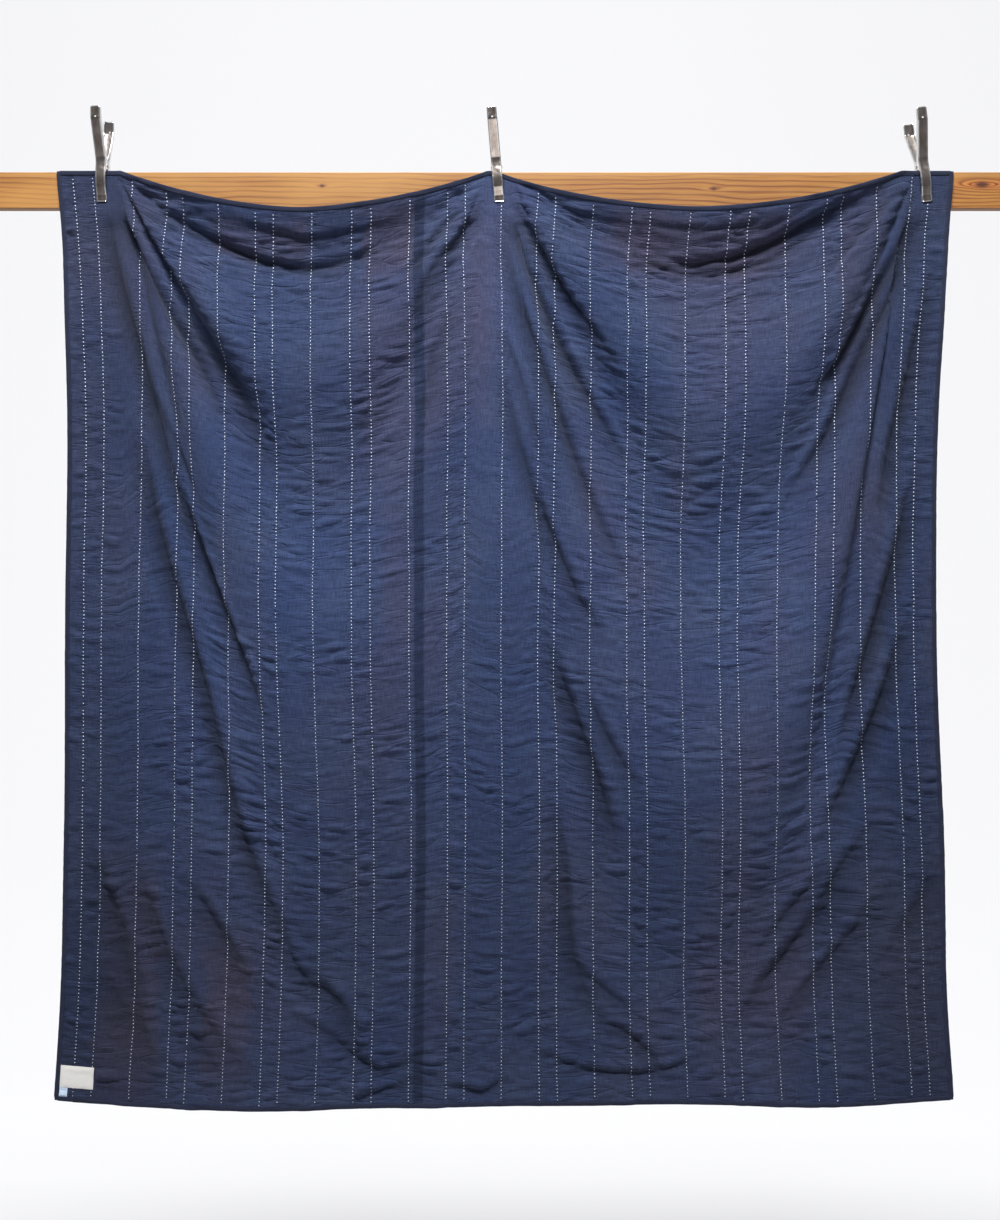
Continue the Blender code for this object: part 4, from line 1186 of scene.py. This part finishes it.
def cut_hole(arm, height):
    """The hole to hang the clamp by, through the arm's handle."""
    bm = bmesh.new()
    bmesh.ops.create_cone(bm, cap_ends=True, segments=24, radius1=HANG_HOLE_R,
                          radius2=HANG_HOLE_R, depth=0.30)
    bmesh.ops.rotate(bm, verts=bm.verts, matrix=Matrix.Rotation(math.pi / 2, 3, "X"))
    bmesh.ops.translate(bm, verts=bm.verts, vec=(0, 0, height))
    cutter = link("hole", bpy.data.meshes.new("hole"))
    bm.to_mesh(cutter.data)
    bm.free()
    cut = arm.modifiers.new("hole", "BOOLEAN")
    cut.operation = "DIFFERENCE"
    cut.solver = "EXACT"
    cut.object = cutter
    solid = solid_mesh(arm)
    arm.modifiers.clear()
    arm.data = solid
    bpy.data.objects.remove(cutter)


def build_spring(name, row, material):
    """A coil of round wire about the pin, with a leg up the inside of each handle."""
    long = (2 * SPRING_WIRE_R + GAP) * SPRING_TURNS
    z = PIVOT_Z - JAW_Z
    points = []
    steps = round(24 * SPRING_TURNS)
    for k in range(steps + 1):
        u = k / steps
        angle = math.pi + math.tau * SPRING_TURNS * u
        points.append(((u - 0.5) * long, SPRING_R * math.cos(angle), z + SPRING_R * math.sin(angle)))
    for side, lean in ((-1, row["front"]), (1, row["rear"])):
        sections = arm_sections(lean)
        web = np.interp(SPRING_LEG_UP, table(sections, "up"), table(sections, "out")) + jaws_opened(row)
        reach = web - STEEL - SPRING_WIRE_R / math.cos(math.radians(row["rear"])) - GAP
        foot = points[0] if side < 0 else points[-1]
        leg = [(foot[0], side * (SPRING_R + (reach - SPRING_R) * u), z + SPRING_LEG_UP * u)
               for u in (0.15, 0.5, 1.0)]
        points = leg[::-1] + points if side < 0 else points + leg
    curve = bpy.data.curves.new(name, "CURVE")
    curve.dimensions = "3D"
    curve.bevel_depth = SPRING_WIRE_R
    curve.bevel_resolution = 3
    curve.use_fill_caps = True
    spline = curve.splines.new("POLY")
    spline.points.add(len(points) - 1)
    for point, at in zip(spline.points, points):
        point.co = (*at, 1.0)
    wire = link(name, curve)
    mesh = solid_mesh(wire)
    bpy.data.objects.remove(wire)
    mesh.shade_smooth()
    spring = link(name, mesh, material)
    place_clamp(spring, row)
    return spring


def build_clamp(row, pressed, wire):
    node = "clamp_" + row["name"]
    for side, arm in ((-1, "_front_arm"), (1, "_rear_arm")):
        adopt(build_arm(node + arm + "_steel", row, side, pressed), "clamp_steel", node + arm)
    adopt(build_spring(node + "_spring_wire", row, wire), "spring_steel", node + "_spring")
    dress_node(node + "_pin", wire)


# -------- rail, stage
def dress_node(name, material):
    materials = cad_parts[name].data.materials
    materials.clear()
    materials.append(material)


def make_camera():
    data = bpy.data.cameras.new("photo camera")
    data.sensor_fit = "VERTICAL"
    data.sensor_height = SENSOR_HEIGHT
    data.lens = FOCAL_PIXELS / PHOTO_HEIGHT * SENSOR_HEIGHT
    camera = link("photo camera", data)
    camera.location = CAMERA_AT
    camera.rotation_euler = (math.radians(90), 0, 0)
    bpy.context.scene.camera = camera


def area_light(name, at, aim, width, height, power):
    data = bpy.data.lights.new(name, "AREA")
    data.shape = "RECTANGLE"
    data.size, data.size_y = width, height
    data.energy = power
    light = link(name, data)
    light.location = at
    light.rotation_euler = (Vector(aim) - Vector(at)).to_track_quat("-Z", "Y").to_euler()


def make_stage():
    """A white wall far behind the quilt that sweeps into a pale floor below the view."""
    paint = Shader("white backdrop", 0.9)
    wall_y, wall_top, floor_z, bend, far = 4.2, 5.0, -3.4, 1.2, 200.0
    place = paint.parts(paint.place())
    behind = paint.stretched(place[1], 0.3, 2.2)
    paint.colour(paint.mix(behind, (0.60, 0.60, 0.61), (0.12, 0.12, 0.125)))
    glow = paint.multiply(behind, paint.stretched(place[2], floor_z, 2.0, 0.82, 0.77))
    paint.surfaced({"Emission Color": (0.985, 0.985, 1.0, 1.0), "Emission Strength": glow})
    profile = [(wall_y, wall_top)]
    for k in range(13):
        angle = math.radians(7.5 * k)
        profile.append((wall_y - bend * (1 - math.cos(angle)), floor_z + bend - bend * math.sin(angle)))
    profile.append((-far, floor_z))
    points = np.array([(x, y, z) for x in (-far, far) for y, z in profile])
    mesh_from("backdrop", points, grid_faces(2, len(profile))[:, ::-1], paint.material)


def make_light():
    """Soft light from above, a dimmer room below, and a reflector low behind the camera."""
    world = bpy.data.worlds.new("studio")
    bpy.context.scene.world = world
    sky = Nodes(world)
    height = sky.parts(sky.place("Generated"))[2]
    sky.fill(sky.tree.nodes["Background"], {
        "Color": (0.84, 0.86, 0.92, 1.0), "Strength": sky.stretched(height, -0.3, 0.7, 0.10, 0.36)})
    bpy.context.scene.view_settings.view_transform = "Standard"
    area_light("key", (-0.3, -2.8, 4.5), (0.0, 0.0, -0.9), 2.8, 0.9, 860)
    area_light("reflector", (0.0, -5.6, -1.9), (0.0, 0.0, -0.5), 1.5, 1.6, 12)


# -------- the whole
def main():
    make_camera()
    make_light()
    make_stage()
    dress_node("rail", pine())

    cloth = Cloth()
    pressed, wire = pressed_steel(), spring_steel()
    for row in CLAMPS:
        build_clamp(row, pressed, wire)
    face_cotton = quilt_cotton("quilt cotton")
    back_cotton = quilt_cotton("quilt back cotton", warm_share=0.6)
    thread = thread_cotton("pale thread", (0.82, 0.89, 0.98), (0.60, 0.67, 0.78), 0.62)
    dark_thread = thread_cotton("navy thread", (0.030, 0.036, 0.070), (0.014, 0.018, 0.040))
    edges = (0.0, *SEAMS, QUILT_WIDTH)
    names = ("quilt_front_left", "quilt_front_middle", "quilt_front_right")
    panels = [
        build_front_panel(cloth, name, start, end, face_cotton)
        for name, start, end in zip(names, edges, edges[1:])]
    back = build_back(cloth, back_cotton)
    front_stitch = build_running_stitch(cloth, "running_stitch_front", 1, thread)
    back_stitch = build_running_stitch(cloth, "running_stitch_back", -1, thread)
    binding = build_binding(cloth, binding_cotton())
    binding_stitch = build_binding_stitch(cloth, dark_thread)

    off_white = label_cotton("label cotton", (0.71, 0.69, 0.66), (0.63, 0.61, 0.585))
    label_thread = thread_cotton("label thread", (0.60, 0.58, 0.55), (0.46, 0.44, 0.42))
    pale_blue = label_cotton("tab cotton", (0.50, 0.60, 0.74), (0.40, 0.50, 0.64))
    label_left, label_right, label_top, label_foot = LABEL_SIDES
    tab_right, tab_foot = 0.031, QUILT_LENGTH - BINDING_WIDTH - 0.0008
    tab_sides = (label_left, tab_right, label_foot + GAP, tab_foot)
    label = patch_of_cloth(cloth, "label_cloth", LABEL_SIDES, off_white, "label_cotton", "label")
    tab = patch_of_cloth(cloth, "label_tab_cloth", tab_sides, pale_blue, "tab_cotton", "label_tab")
    label_stitch = build_label_stitch(cloth, LABEL_SIDES, label_thread)


main()
